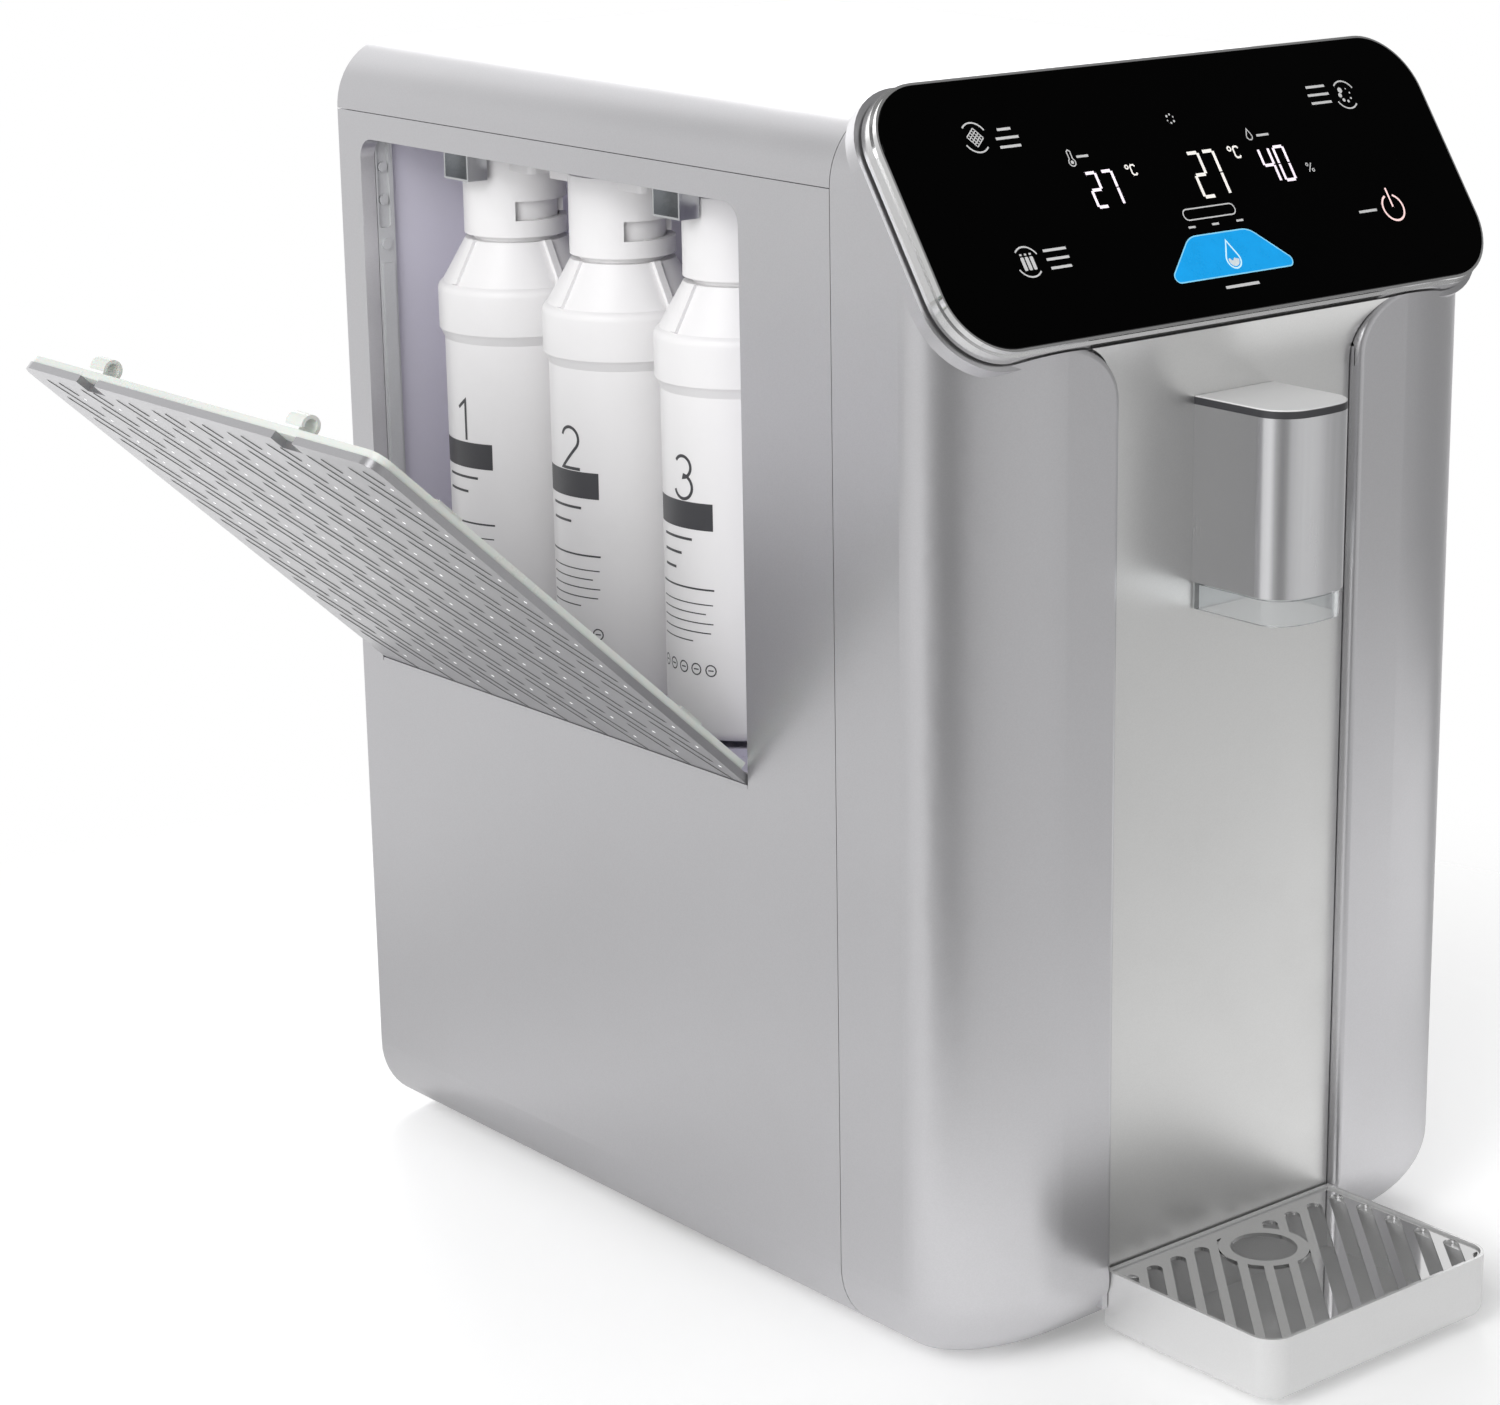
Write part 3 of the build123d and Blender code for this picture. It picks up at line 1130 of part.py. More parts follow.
END_X = INTAKE[0] - CORE_W / 2 - 1.4
save(pipe([(END_X, 331, PIPE_Z), (PIPE_WALL_X, 331, PIPE_Z), (PIPE_WALL_X, 331, 194), (SUCTION_X, 331, 194),
           (SUCTION_X, COMPRESSOR[1], 194), (SUCTION_X, COMPRESSOR[1], COMPRESSOR_Z1)], 8), "suction_pipe")
save(pipe([(END_X, 299, PIPE_Z), (PIPE_WALL_X, 299, PIPE_Z), (PIPE_WALL_X, 299, 174), (DISCHARGE_X, 299, 174),
           (DISCHARGE_X, COMPRESSOR[1], 174), (DISCHARGE_X, COMPRESSOR[1], COMPRESSOR_Z1)], 8),
     "discharge_pipe")

# --- water tanks, pump and valve ----------------------------------------------
RAW_X, RAW_Y, RAW_Z = (-106.0, 14.0), (206.0, 350.0), (PAN_Z1 + 4.5, 150.0)
CLEAN_X, CLEAN_Y, CLEAN_Z = (-48.0, 112.0), (78.0, 150.0), (212.0, 398.0)
TANK_T = 2.5
FLOAT_AT = (-82.0, 236.0)
LAMP_AT = (82.0, 114.0)


def open_tank(xs, ys, zs):
    """Rectangular tank with rounded corners, open at the top."""
    with BuildPart() as tank:
        with BuildSketch(PLAN.offset(zs[0])):
            with Locations((sum(xs) / 2, sum(ys) / 2)):
                RectangleRounded(xs[1] - xs[0], ys[1] - ys[0], 8)
        extrude(amount=zs[1] - zs[0])
        with BuildSketch(PLAN.offset(zs[0] + TANK_T)):
            with Locations((sum(xs) / 2, sum(ys) / 2)):
                RectangleRounded(xs[1] - xs[0] - 2 * TANK_T, ys[1] - ys[0] - 2 * TANK_T, 5.5)
        extrude(amount=zs[1] - zs[0], mode=Mode.SUBTRACT)
    return tank


with BuildPart() as raw_water_tank:
    add(open_tank(RAW_X, RAW_Y, RAW_Z).part)
    # legs on the base pan
    with BuildSketch(PLAN.offset(PAN_Z1)):
        with Locations((sum(RAW_X) / 2, sum(RAW_Y) / 2)):
            with GridLocations(90, 110, 2, 2):
                Circle(6)
    extrude(amount=RAW_Z[0] - PAN_Z1 + 0.5)
    # drain boss at the rear
    with BuildSketch(front_at(RAW_Y[1])):
        with Locations(DRAIN):
            Circle(8)
    extrude(amount=-7)
    with BuildSketch(front_at(RAW_Y[1] - TANK_T - 1)):
        with Locations(DRAIN):
            Circle(5)
    extrude(amount=-20, mode=Mode.SUBTRACT)
save(raw_water_tank, "raw_water_tank")

with BuildPart() as raw_tank_lid:
    with BuildSketch(PLAN.offset(RAW_Z[1])):
        with Locations((sum(RAW_X) / 2, sum(RAW_Y) / 2)):
            RectangleRounded(RAW_X[1] - RAW_X[0] + 3, RAW_Y[1] - RAW_Y[0] + 3, 9)
        with Locations(DRIP_AT):
            Circle(4.6, mode=Mode.SUBTRACT)
    extrude(amount=2.5)
    # guide rod for the float, with a stop at its lower end
    with BuildSketch(PLAN.offset(RAW_Z[0] + 8)):
        with Locations(FLOAT_AT):
            Circle(3)
    extrude(amount=RAW_Z[1] - RAW_Z[0] - 8)
    with BuildSketch(PLAN.offset(RAW_Z[0] + 6)):
        with Locations(FLOAT_AT):
            Circle(6)
    extrude(amount=2)
save(raw_tank_lid, "raw_tank_lid")

with BuildPart() as level_float:
    with BuildSketch(PLAN.offset(RAW_Z[0] + 8.2)):
        with Locations(FLOAT_AT):
            Circle(14)
            Circle(3.1, mode=Mode.SUBTRACT)
    extrude(amount=20)
save(level_float, "level_float")

with BuildPart() as drain_plug:
    with BuildSketch(front_at(RAW_Y[1] - 1)):
        with Locations(DRAIN):
            Circle(4.9)
    extrude(amount=-8.5)
    with BuildSketch(front_at(RAW_Y[1] + 7.2)):
        with Locations(DRAIN):
            Circle(10)
    extrude(amount=-8)
    with BuildSketch(front_at(RAW_Y[1] + 12.5)):
        with Locations(DRAIN):
            Rectangle(15, 2.4)
    extrude(amount=-5, mode=Mode.SUBTRACT)
save(drain_plug, "drain_plug")

with BuildPart() as clean_water_tank:
    add(open_tank(CLEAN_X, CLEAN_Y, CLEAN_Z).part)
    # outlet towards the valve
    with BuildSketch(front_at(CLEAN_Y[0])):
        with Locations((0, SPOUT_Z0 + 30)):
            Circle(5)
    extrude(amount=8)
    with BuildSketch(front_at(CLEAN_Y[0] + TANK_T + 1)):
        with Locations((0, SPOUT_Z0 + 30)):
            Circle(3)
    extrude(amount=20, mode=Mode.SUBTRACT)
save(clean_water_tank, "clean_water_tank")

with BuildPart() as clean_tank_lid:
    with BuildSketch(PLAN.offset(CLEAN_Z[1])):
        with Locations((sum(CLEAN_X) / 2, sum(CLEAN_Y) / 2)):
            RectangleRounded(CLEAN_X[1] - CLEAN_X[0] + 3, CLEAN_Y[1] - CLEAN_Y[0] + 3, 9)
        with Locations(LAMP_AT):
            Circle(9.2, mode=Mode.SUBTRACT)
    extrude(amount=2.5)
save(clean_tank_lid, "clean_tank_lid")

with BuildPart() as uv_lamp:
    with BuildSketch(PLAN.offset(CLEAN_Z[0] + 30)):
        with Locations(LAMP_AT):
            Circle(9)
    extrude(amount=CLEAN_Z[1] - CLEAN_Z[0] - 27)
    with BuildSketch(PLAN.offset(CLEAN_Z[1] + 2.5)):
        with Locations(LAMP_AT):
            Circle(14)
    extrude(amount=12)
save(uv_lamp, "uv_lamp")

PUMP, PUMP_Z = (-58.0, 148.0), 38.0

with BuildPart() as water_pump:
    with BuildSketch(PLAN.offset(PAN_Z1)):
        with Locations(PUMP):
            RectangleRounded(52, 44, 4)
    extrude(amount=4)
    with BuildSketch(front_at(PUMP[1] - 26)):
        with Locations((PUMP[0], PUMP_Z)):
            Circle(22)
    extrude(amount=-36)
    with BuildSketch(front_at(PUMP[1] + 10)):
        with Locations((PUMP[0], PUMP_Z)):
            Circle(26)
    extrude(amount=-16)
    with BuildSketch(PLAN.offset(56)):
        with Locations((PUMP[0], PUMP[1] + 18)):
            Circle(5)
    extrude(amount=20)
    with BuildSketch(PLAN.offset(PAN_Z1 + 3)):
        with Locations(PUMP):
            Rectangle(20, 44)
    extrude(amount=14)
save(water_pump, "water_pump")

with BuildPart() as solenoid_valve:
    with BuildSketch(front_at(21.5)):
        with Locations((0, SPOUT_Z0 + 30)):
            Rectangle(26, 24)
    extrude(amount=-26)
    with BuildSketch(front_at(47)):
        with Locations((0, SPOUT_Z0 + 30)):
            Circle(5)
    extrude(amount=-22.8)
    with BuildSketch(PLAN.offset(SPOUT_Z0 + 41)):
        with Locations((0, 35)):
            Circle(11)
    extrude(amount=24)
save(solenoid_valve, "solenoid_valve")

# --- electrics ----------------------------------------------------------------
SUPPLY, SUPPLY_H = (80.0, 318.0), 72.0
BOARD_X = 124.0               # main board, standing beside the right side panel

with BuildPart() as power_supply:
    with BuildSketch(PLAN.offset(PAN_Z1)):
        with Locations(SUPPLY):
            Rectangle(66, 46)
    extrude(amount=SUPPLY_H)
    # cooling slots
    with BuildSketch(PLAN.offset(PAN_Z1 + SUPPLY_H - 2)):
        with Locations(SUPPLY):
            with GridLocations(9, 1, 6, 1):
                SlotOverall(34, 3.4, rotation=90)
    extrude(amount=3, mode=Mode.SUBTRACT)
save(power_supply, "power_supply")

with BuildPart() as power_inlet:
    with BuildSketch(front_at(REAR_Y + T)):
        with Locations(INLET):
            RectangleRounded(40, 28, 3)
    extrude(amount=-2)
    with BuildSketch(front_at(REAR_Y + T)):
        with Locations(INLET):
            Rectangle(28.6, 21.6)
    extrude(amount=20)
    with BuildSketch(front_at(REAR_Y + T + 3)):
        with Locations(INLET):
            Rectangle(24, 16.5)
    extrude(amount=18, mode=Mode.SUBTRACT)
    with BuildSketch(front_at(REAR_Y + T - 1)):
        with Locations(INLET):
            with Locations((0, 3.5), (-7, -1), (7, -1)):
                Rectangle(2.2, 4.5)
    extrude(amount=16)
save(power_inlet, "power_inlet")

with BuildPart() as main_board:
    with BuildSketch(SIDE.offset(BOARD_X)):
        with Locations((175, 300)):
            RectangleRounded(120, 150, 3)
    extrude(amount=1.6)
    with BuildSketch(SIDE.offset(BOARD_X)):
        with Locations((150, 340), (205, 330)):
            Rectangle(18, 18)
        with Locations((150, 260), (180, 260), (210, 262)):
            Rectangle(20, 9)
        with Locations((215, 290)):
            Circle(6)
    extrude(amount=-5)
save(main_board, "main_board")
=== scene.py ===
# %% [markdown]
# # A countertop water dispenser, from bare solids to finished surfaces
# The machine draws water out of room air, cleans it in three cartridges and
# pours it at the front. Its solids arrive from the CAD side as a fixed frame:
# they are never moved or reshaped here. What this lesson adds is the studio,
# the finishes, and the small things that are printed, pressed or screwed on.

# %% Load the frame
from math import atan2, ceil, cos, hypot, pi, radians, sin, tan

import bmesh
import bpy
from mathutils import Matrix, Vector


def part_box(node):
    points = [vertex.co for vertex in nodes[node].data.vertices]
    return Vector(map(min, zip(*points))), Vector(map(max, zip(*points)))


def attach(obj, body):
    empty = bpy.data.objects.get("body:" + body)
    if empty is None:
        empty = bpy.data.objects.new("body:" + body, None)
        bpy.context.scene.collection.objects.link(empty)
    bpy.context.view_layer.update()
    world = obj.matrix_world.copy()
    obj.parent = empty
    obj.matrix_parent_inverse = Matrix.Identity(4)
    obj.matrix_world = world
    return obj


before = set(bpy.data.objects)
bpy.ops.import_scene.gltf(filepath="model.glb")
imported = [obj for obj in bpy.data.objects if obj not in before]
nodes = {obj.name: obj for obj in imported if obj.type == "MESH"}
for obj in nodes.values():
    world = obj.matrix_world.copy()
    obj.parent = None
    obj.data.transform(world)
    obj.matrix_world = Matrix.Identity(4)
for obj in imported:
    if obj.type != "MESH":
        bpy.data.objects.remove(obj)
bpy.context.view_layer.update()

MM = 0.001

# %% [markdown]
# ## One ruler for every piece
# The cabinet was drawn from its own centre plane (x = 0), the front of its
# pillars (y = 0) and the counter (z = 0). The frame's origin lies elsewhere,
# under the middle of the box that also holds the open door. Both offsets can
# be read from the top cover, which spans the cabinet and ends at its back, so
# a helper turns the cabinet's millimetres into places in the scene.

# %% Read the datum from the top cover
cover_lo, cover_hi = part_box("top_cover")
DEPTH = 368.0
DATUM = Vector(((cover_lo.x + cover_hi.x) / 2, cover_hi.y - DEPTH * MM, 0))


def at(x, y, z):
    """A place given in the cabinet's own millimetres."""
    return DATUM + Vector((x, y, z)) * MM


print("datum", [round(v, 5) for v in DATUM])

# %% [markdown]
# ## The camera
# A product view from the front left and a little above. It could be aimed by
# hand, but an azimuth, an elevation and a distance say plainly where it
# stands, and a small roll and shift settle the framing. Three axes built from
# those angles go straight into the camera's matrix. The same helper will lay
# flat drawings on the glass, the door and the rear wall.

# %% Helpers for objects and their places


def add_object(name, data):
    """A new object that holds the data, linked to the scene."""
    made = bpy.data.objects.new(name, data)
    bpy.context.scene.collection.objects.link(made)
    return made


def axes_at(place, x_axis, y_axis, z_axis, scale=1.0):
    """The matrix that carries a drawing's origin and axes to a place and three directions."""
    turn = Matrix((x_axis, y_axis, z_axis)).transposed().to_4x4()
    return Matrix.Translation(place) @ turn @ Matrix.Scale(scale, 4)


# %% Place the camera
AZIMUTH, ELEVATION, ROLL = radians(-40.96), radians(16.16), radians(-0.29)
TARGET, DISTANCE = at(3.51, 182.3, 191.68), 1.49235
FOCAL_LENGTH, SENSOR_WIDTH = 89.615, 36.0
SHIFT_ACROSS, SHIFT_UP = -0.1091, 0.0062
NEAREST, FARTHEST = 0.05, 60.0

back = Vector((sin(AZIMUTH) * cos(ELEVATION), -cos(AZIMUTH) * cos(ELEVATION), sin(ELEVATION)))
level = Vector((cos(AZIMUTH), sin(AZIMUTH), 0))
upward = back.cross(level)
right = level * cos(ROLL) + upward * sin(ROLL)
upward = upward * cos(ROLL) - level * sin(ROLL)

lens = bpy.data.cameras.new("camera")
lens.lens, lens.sensor_width = FOCAL_LENGTH, SENSOR_WIDTH
lens.shift_x, lens.shift_y = SHIFT_ACROSS, SHIFT_UP
lens.clip_start, lens.clip_end = NEAREST, FARTHEST
camera = add_object("camera", lens)
camera.matrix_world = axes_at(TARGET + back * DISTANCE, right, upward, back)
bpy.context.scene.camera = camera
print("camera at", [round(v, 3) for v in camera.matrix_world.translation])

# %% [markdown]
# ## Nodes in few words
# Worlds, materials and the repeating tree further down are all wired from
# nodes. Making one, changing its settings, and linking or setting its inputs
# takes a line each, so one helper does all three, and two more name the nodes
# that turn up most: a calculation, and a ramp of greys.

# %% Helpers for nodes


def add_node(tree, kind, inputs=(), **settings):
    """A node with its settings, and its inputs linked to a socket or set to a value."""
    node = tree.nodes.new(kind)
    for name, value in settings.items():
        setattr(node, name, value)
    for socket, value in dict(inputs).items():
        if hasattr(value, "is_output"):
            tree.links.new(value, node.inputs[socket])
        else:
            node.inputs[socket].default_value = value
    return node


def math_node(tree, operation, first, second):
    """A calculation with two numbers or sockets; returns its output."""
    return add_node(tree, "ShaderNodeMath", {0: first, 1: second}, operation=operation).outputs[0]


def ramp_node(tree, factor, stops, interpolation="LINEAR"):
    """A ramp of greys from (position, grey) pairs; returns its colour output."""
    node = add_node(tree, "ShaderNodeValToRGB", {0: factor})
    node.color_ramp.interpolation = interpolation
    elements = node.color_ramp.elements
    while len(elements) < len(stops):
        elements.new(0.5)
    for element, (position, grey) in zip(elements, stops):
        element.position = position
        element.color = (grey, grey, grey, 1)
    return node.outputs[0]


# %% [markdown]
# ## The studio
# Silver lacquer has hardly a colour of its own: it shows the room. A plain
# white room would leave it flat, so the world is a soft studio: brightest
# behind, paler to the left, and darker where the camera stands and to the
# right. The greys are a ramp over the compass direction, times one over the
# height. The camera, and anything seen through clear plastic, meets plain
# white instead.

# %% Build the world
# compass direction in degrees from the front, positive to the right: brightness
STUDIO = ((-180, 1.5), (-168, 1.5), (-155, 0.75), (-139, 0.62), (-105, 0.72), (-82, 0.8),
          (-66, 0.36), (-50, 0.2), (-38, 0.22), (-15, 0.5), (8, 0.56), (36, 0.6), (44, 0.6),
          (49, 0.36), (75, 0.32), (100, 0.36), (118, 0.8), (139, 1.0), (160, 1.3), (180, 1.5))
# height from straight down (0) over level (0.5) to straight up (1): share
RISE = ((0.0, 0.9), (0.5, 1.0), (0.62, 1.0), (0.78, 0.62), (1.0, 0.7))

world = bpy.data.worlds.new("studio")
world.use_nodes = True
bpy.context.scene.world = world
bpy.context.scene.view_settings.view_transform = "Standard"
tree = world.node_tree
tree.nodes.clear()
direction = add_node(tree, "ShaderNodeTexCoord").outputs["Generated"]
parts = add_node(tree, "ShaderNodeSeparateXYZ", {0: direction}).outputs
compass = math_node(tree, "ARCTAN2", parts["X"], math_node(tree, "MULTIPLY", parts["Y"], -1.0))
turn = math_node(tree, "ADD", math_node(tree, "DIVIDE", compass, 2 * pi), 0.5)
around = ramp_node(tree, turn, [((a + 180) / 360, grey) for a, grey in STUDIO], "EASE")
height = math_node(tree, "ADD", math_node(tree, "MULTIPLY", parts["Z"], 0.5), 0.5)
rise = ramp_node(tree, height, RISE)
tone = add_node(tree, "ShaderNodeMix", {"Factor": 1.0, "A": around, "B": rise},
                data_type="RGBA", blend_type="MULTIPLY")

studio = add_node(tree, "ShaderNodeBackground", {"Color": tone.outputs["Result"]})
white = add_node(tree, "ShaderNodeBackground", {"Color": (1, 1, 1, 1)})
rays = add_node(tree, "ShaderNodeLightPath").outputs
seen = math_node(tree, "MAXIMUM", rays["Is Camera Ray"], rays["Is Transmission Ray"])
choose = add_node(tree, "ShaderNodeMixShader",
                  {"Fac": seen, 1: studio.outputs[0], 2: white.outputs[0]})
add_node(tree, "ShaderNodeOutputWorld", {"Surface": choose.outputs[0]})
print("studio ramp has", len(STUDIO), "stops")

# %% [markdown]
# ## The floor
# The machine stands on a pale round table whose edge fades into the white
# room, so no horizon shows and the contact shadow stays. Its paper glows a
# little for the camera, to meet that white. In the silver's reflections the
# table shows painted light: greys painted paler near the machine and towards
# the front.

# %% Lay the floor
FLOOR_FULL, FLOOR_GONE = 0.34, 0.66
PAPER_WHITE, PAPER_GLOW = (0.93, 0.93, 0.93, 1), 0.22
# painted light in reflections of the paper: greys over 1.6 times the distance, and over y + 0.5
PAINTED_REFLECTION_REACH, PAINTED_REFLECTION_BY_REACH = 1.6, ((0.0, 0.98), (0.4, 0.98), (0.66, 0.8), (1.0, 0.72))
PAINTED_REFLECTION_BY_DEPTH = ((0.25, 1.0), (0.62, 0.68))
# painted pool of light in reflections: shares of the glow that reflections keep, over the distance,
# and over y + 0.5
PAINTED_POOL_BY_REACH, PAINTED_POOL_BY_DEPTH = ((0.0, 0.9), (0.26, 0.9), (0.42, 0.0)), ((0.3, 1.0), (0.5, 0.0))

shape = bmesh.new()
bmesh.ops.create_circle(shape, cap_ends=True, segments=96, radius=FLOOR_GONE)
floor = add_object("floor", bpy.data.meshes.new("floor"))
shape.to_mesh(floor.data)
shape.free()

paper = bpy.data.materials.new("studio_paper")
paper.use_nodes = True
tree = paper.node_tree
tree.nodes.clear()
place = add_node(tree, "ShaderNodeTexCoord").outputs["Object"]
reach = add_node(tree, "ShaderNodeVectorMath", {0: place}, operation="LENGTH").outputs["Value"]
parts = add_node(tree, "ShaderNodeSeparateXYZ", {0: place}).outputs
depth = math_node(tree, "ADD", parts["Y"], 0.5)
rays = add_node(tree, "ShaderNodeLightPath").outputs

# painted light for reflections only: the paper paler near the machine and towards the front
stretched = math_node(tree, "MULTIPLY", reach, PAINTED_REFLECTION_REACH)
painted_reflection = math_node(tree, "MULTIPLY", ramp_node(tree, stretched, PAINTED_REFLECTION_BY_REACH),
                      ramp_node(tree, depth, PAINTED_REFLECTION_BY_DEPTH))
tint = add_node(tree, "ShaderNodeMix", {"Factor": rays["Is Glossy Ray"], "A": PAPER_WHITE,
                                        "B": painted_reflection}, data_type="RGBA")
surface = add_node(tree, "ShaderNodeBsdfDiffuse", {"Color": tint.outputs["Result"]})
# a painted pool of light near the machine, which only reflections see
painted_pool = math_node(tree, "MULTIPLY", ramp_node(tree, reach, PAINTED_POOL_BY_REACH),
                 ramp_node(tree, depth, PAINTED_POOL_BY_DEPTH))
share = math_node(tree, "MAXIMUM", rays["Is Camera Ray"],
                  math_node(tree, "MULTIPLY", rays["Is Glossy Ray"], painted_pool))
unlit, lit = (add_node(tree, "ShaderNodeEmission", {"Strength": power}).outputs[0]
              for power in (0.0, PAPER_GLOW))
glow_and_painted_pool = add_node(tree, "ShaderNodeMixShader", {"Fac": share, 1: unlit, 2: lit})
both = add_node(tree, "ShaderNodeAddShader", {0: surface.outputs[0], 1: glow_and_painted_pool.outputs[0]})
fade = add_node(tree, "ShaderNodeMapRange",
                {"Value": reach, "From Min": FLOOR_FULL, "From Max": FLOOR_GONE},
                interpolation_type="SMOOTHSTEP")
clear = add_node(tree, "ShaderNodeBsdfTransparent")
edge = add_node(tree, "ShaderNodeMixShader",
                {"Fac": fade.outputs[0], 1: both.outputs[0], 2: clear.outputs[0]})
add_node(tree, "ShaderNodeOutputMaterial", {"Surface": edge.outputs[0]})
floor.data.materials.append(paper)
print("floor fades between", FLOOR_FULL, "and", FLOOR_GONE, "m")

# %% [markdown]
# ## Lamps
# Three large softboxes and a small card add to the world: one high behind the
# right shoulder that lights the top, one high at the left, and a lower fill
# for the front left that reflections leave out. The card lies on the floor
# and throws a little light up the front. Together with the world they render
# a white card about as white.

# %% Hang the lamps


def soft_lamp(name, place, aim, size, power):
    """A square softbox that looks at a point; size in metres, power in watts."""
    light = bpy.data.lights.new(name, "AREA")
    light.size, light.energy = size, power
    lamp = add_object(name, light)
    aimed = (place - aim).to_track_quat("Z", "Y").to_matrix().to_4x4()
    lamp.matrix_world = Matrix.Translation(place) @ aimed
    return lamp


middle = at(0, 180, 220)
soft_lamp("lamp_back_right", middle + Vector((1.1, 1.5, 1.5)), middle, size=1.4, power=22.0)
soft_lamp("lamp_left", middle + Vector((-1.9, -0.5, 1.6)), middle, size=1.2, power=14.0)
fill = soft_lamp("lamp_fill", middle + Vector((-1.6, -0.85, 0.55)), middle, size=1.2, power=21.0)
fill.visible_glossy = False
card = soft_lamp("lamp_card", Vector((0.5, -0.3, 0.004)), Vector((0.3, -0.25, 0.4)),
                 size=0.34, power=0.2)
card.visible_camera = False
print("lamps", [lamp.name for lamp in bpy.data.lights])

# %% [markdown]
# ## Shared effects as node groups
# Four effects turn up in nearly every finish: metal flake under lacquer, fine
# brushing, the soft unevenness of moulded plastic, and the faint marks that
# hands leave. Each is built once as a group with named sockets. A group puts
# out only a colour, a roughness and a height that vary over the surface; the
# shader itself, and every constant, stays in the material.

# %% Helpers for groups
COLOUR, FLOAT, VECTOR = "NodeSocketColor", "NodeSocketFloat", "NodeSocketVector"


def effect_group(name, inputs):
    """A shader group with the given inputs; returns it and their sockets inside it."""
    tree = bpy.data.node_groups.new(name, "ShaderNodeTree")
    for label, kind, value in inputs:
        tree.interface.new_socket(label, in_out="INPUT", socket_type=kind).default_value = value
    return tree, tree.nodes.new("NodeGroupInput").outputs


def puts_out(tree, colour, roughness, height):
    """Give a group its three outputs."""
    for label, kind in (("Color", COLOUR), ("Roughness", FLOAT), ("Height", FLOAT)):
        tree.interface.new_socket(label, in_out="OUTPUT", socket_type=kind)
    add_node(tree, "NodeGroupOutput", {"Color": colour, "Roughness": roughness, "Height": height})


def noise(tree, vector, scale, detail=2.0, rough=0.5):
    """A noise texture; the scale may be a number or a socket."""
    return add_node(tree, "ShaderNodeTexNoise", {"Vector": vector, "Scale": scale, "Detail": detail,
                                                 "Roughness": rough}).outputs["Fac"]


def mix_colour(tree, factor, first, second):
    """Mix two colours by a factor socket."""
    return add_node(tree, "ShaderNodeMix", {"Factor": factor, "A": first, "B": second},
                    data_type="RGBA").outputs["Result"]


def remap(tree, value, low=0.3, high=0.7, out_low=0.0, out_high=1.0):
    """Map a value to another range; unless told, the middle of a noise to 0 to 1."""
    return add_node(tree, "ShaderNodeMapRange", {
        "Value": value, "From Min": low, "From Max": high,
        "To Min": out_low, "To Max": out_high}).outputs["Result"]


def on_object(tree):
    """Object coordinates, in metres."""
    return add_node(tree, "ShaderNodeTexCoord").outputs["Object"]


# %% Metal flake under lacquer
flake, given = effect_group("metal_flake", (
    ("Light", COLOUR, (0.64, 0.64, 0.65, 1)), ("Dark", COLOUR, (0.54, 0.54, 0.55, 1)),
    ("Flake Scale", FLOAT, 2400.0), ("Cloud Scale", FLOAT, 9.0),
    ("Rough Low", FLOAT, 0.28), ("Rough High", FLOAT, 0.38)))
GLINT_SHARE, CLOUD_SHARE = 0.6, 0.4
spot = on_object(flake)
cloud = noise(flake, spot, given["Cloud Scale"], 3.0)
cells = add_node(flake, "ShaderNodeTexVoronoi", {"Vector": spot, "Scale": given["Flake Scale"]})
glint = add_node(flake, "ShaderNodeSeparateColor", {0: cells.outputs["Color"]}).outputs
blend = math_node(flake, "ADD", math_node(flake, "MULTIPLY", glint[0], GLINT_SHARE),
                  math_node(flake, "MULTIPLY", remap(flake, cloud), CLOUD_SHARE))
puts_out(flake, mix_colour(flake, blend, given["Dark"], given["Light"]),
         remap(flake, cloud, out_low=given["Rough Low"], out_high=given["Rough High"]), glint[1])

# %% Brushed metal
brushed, given = effect_group("brushed_metal", (
    ("Light", COLOUR, (0.7, 0.7, 0.7, 1)), ("Dark", COLOUR, (0.55, 0.55, 0.56, 1)),
    ("Stretch", VECTOR, (900.0, 900.0, 14.0)),
    ("Rough Low", FLOAT, 0.2), ("Rough High", FLOAT, 0.34)))
drawn_out = add_node(brushed, "ShaderNodeVectorMath", {0: on_object(brushed), 1: given["Stretch"]},
                     operation="MULTIPLY").outputs[0]
hair = remap(brushed, noise(brushed, drawn_out, 1.0, 4.0, 0.65))
puts_out(brushed, mix_colour(brushed, hair, given["Dark"], given["Light"]),
         remap(brushed, hair, 0.0, 1.0, given["Rough Low"], given["Rough High"]), hair)

# %% Moulded plastic
moulded, given = effect_group("moulded_plastic", (
    ("Light", COLOUR, (0.8, 0.8, 0.8, 1)), ("Dark", COLOUR, (0.74, 0.74, 0.75, 1)),
    ("Grain Scale", FLOAT, 900.0), ("Cloud Scale", FLOAT, 14.0),
    ("Rough Low", FLOAT, 0.35), ("Rough High", FLOAT, 0.5)))
spot = on_object(moulded)
cloud = remap(moulded, noise(moulded, spot, given["Cloud Scale"], 4.0, 0.6))
grain = noise(moulded, spot, given["Grain Scale"])
puts_out(moulded, mix_colour(moulded, cloud, given["Dark"], given["Light"]),
         remap(moulded, math_node(moulded, "MULTIPLY", cloud, grain), 0.0, 0.6,
               given["Rough Low"], given["Rough High"]), grain)

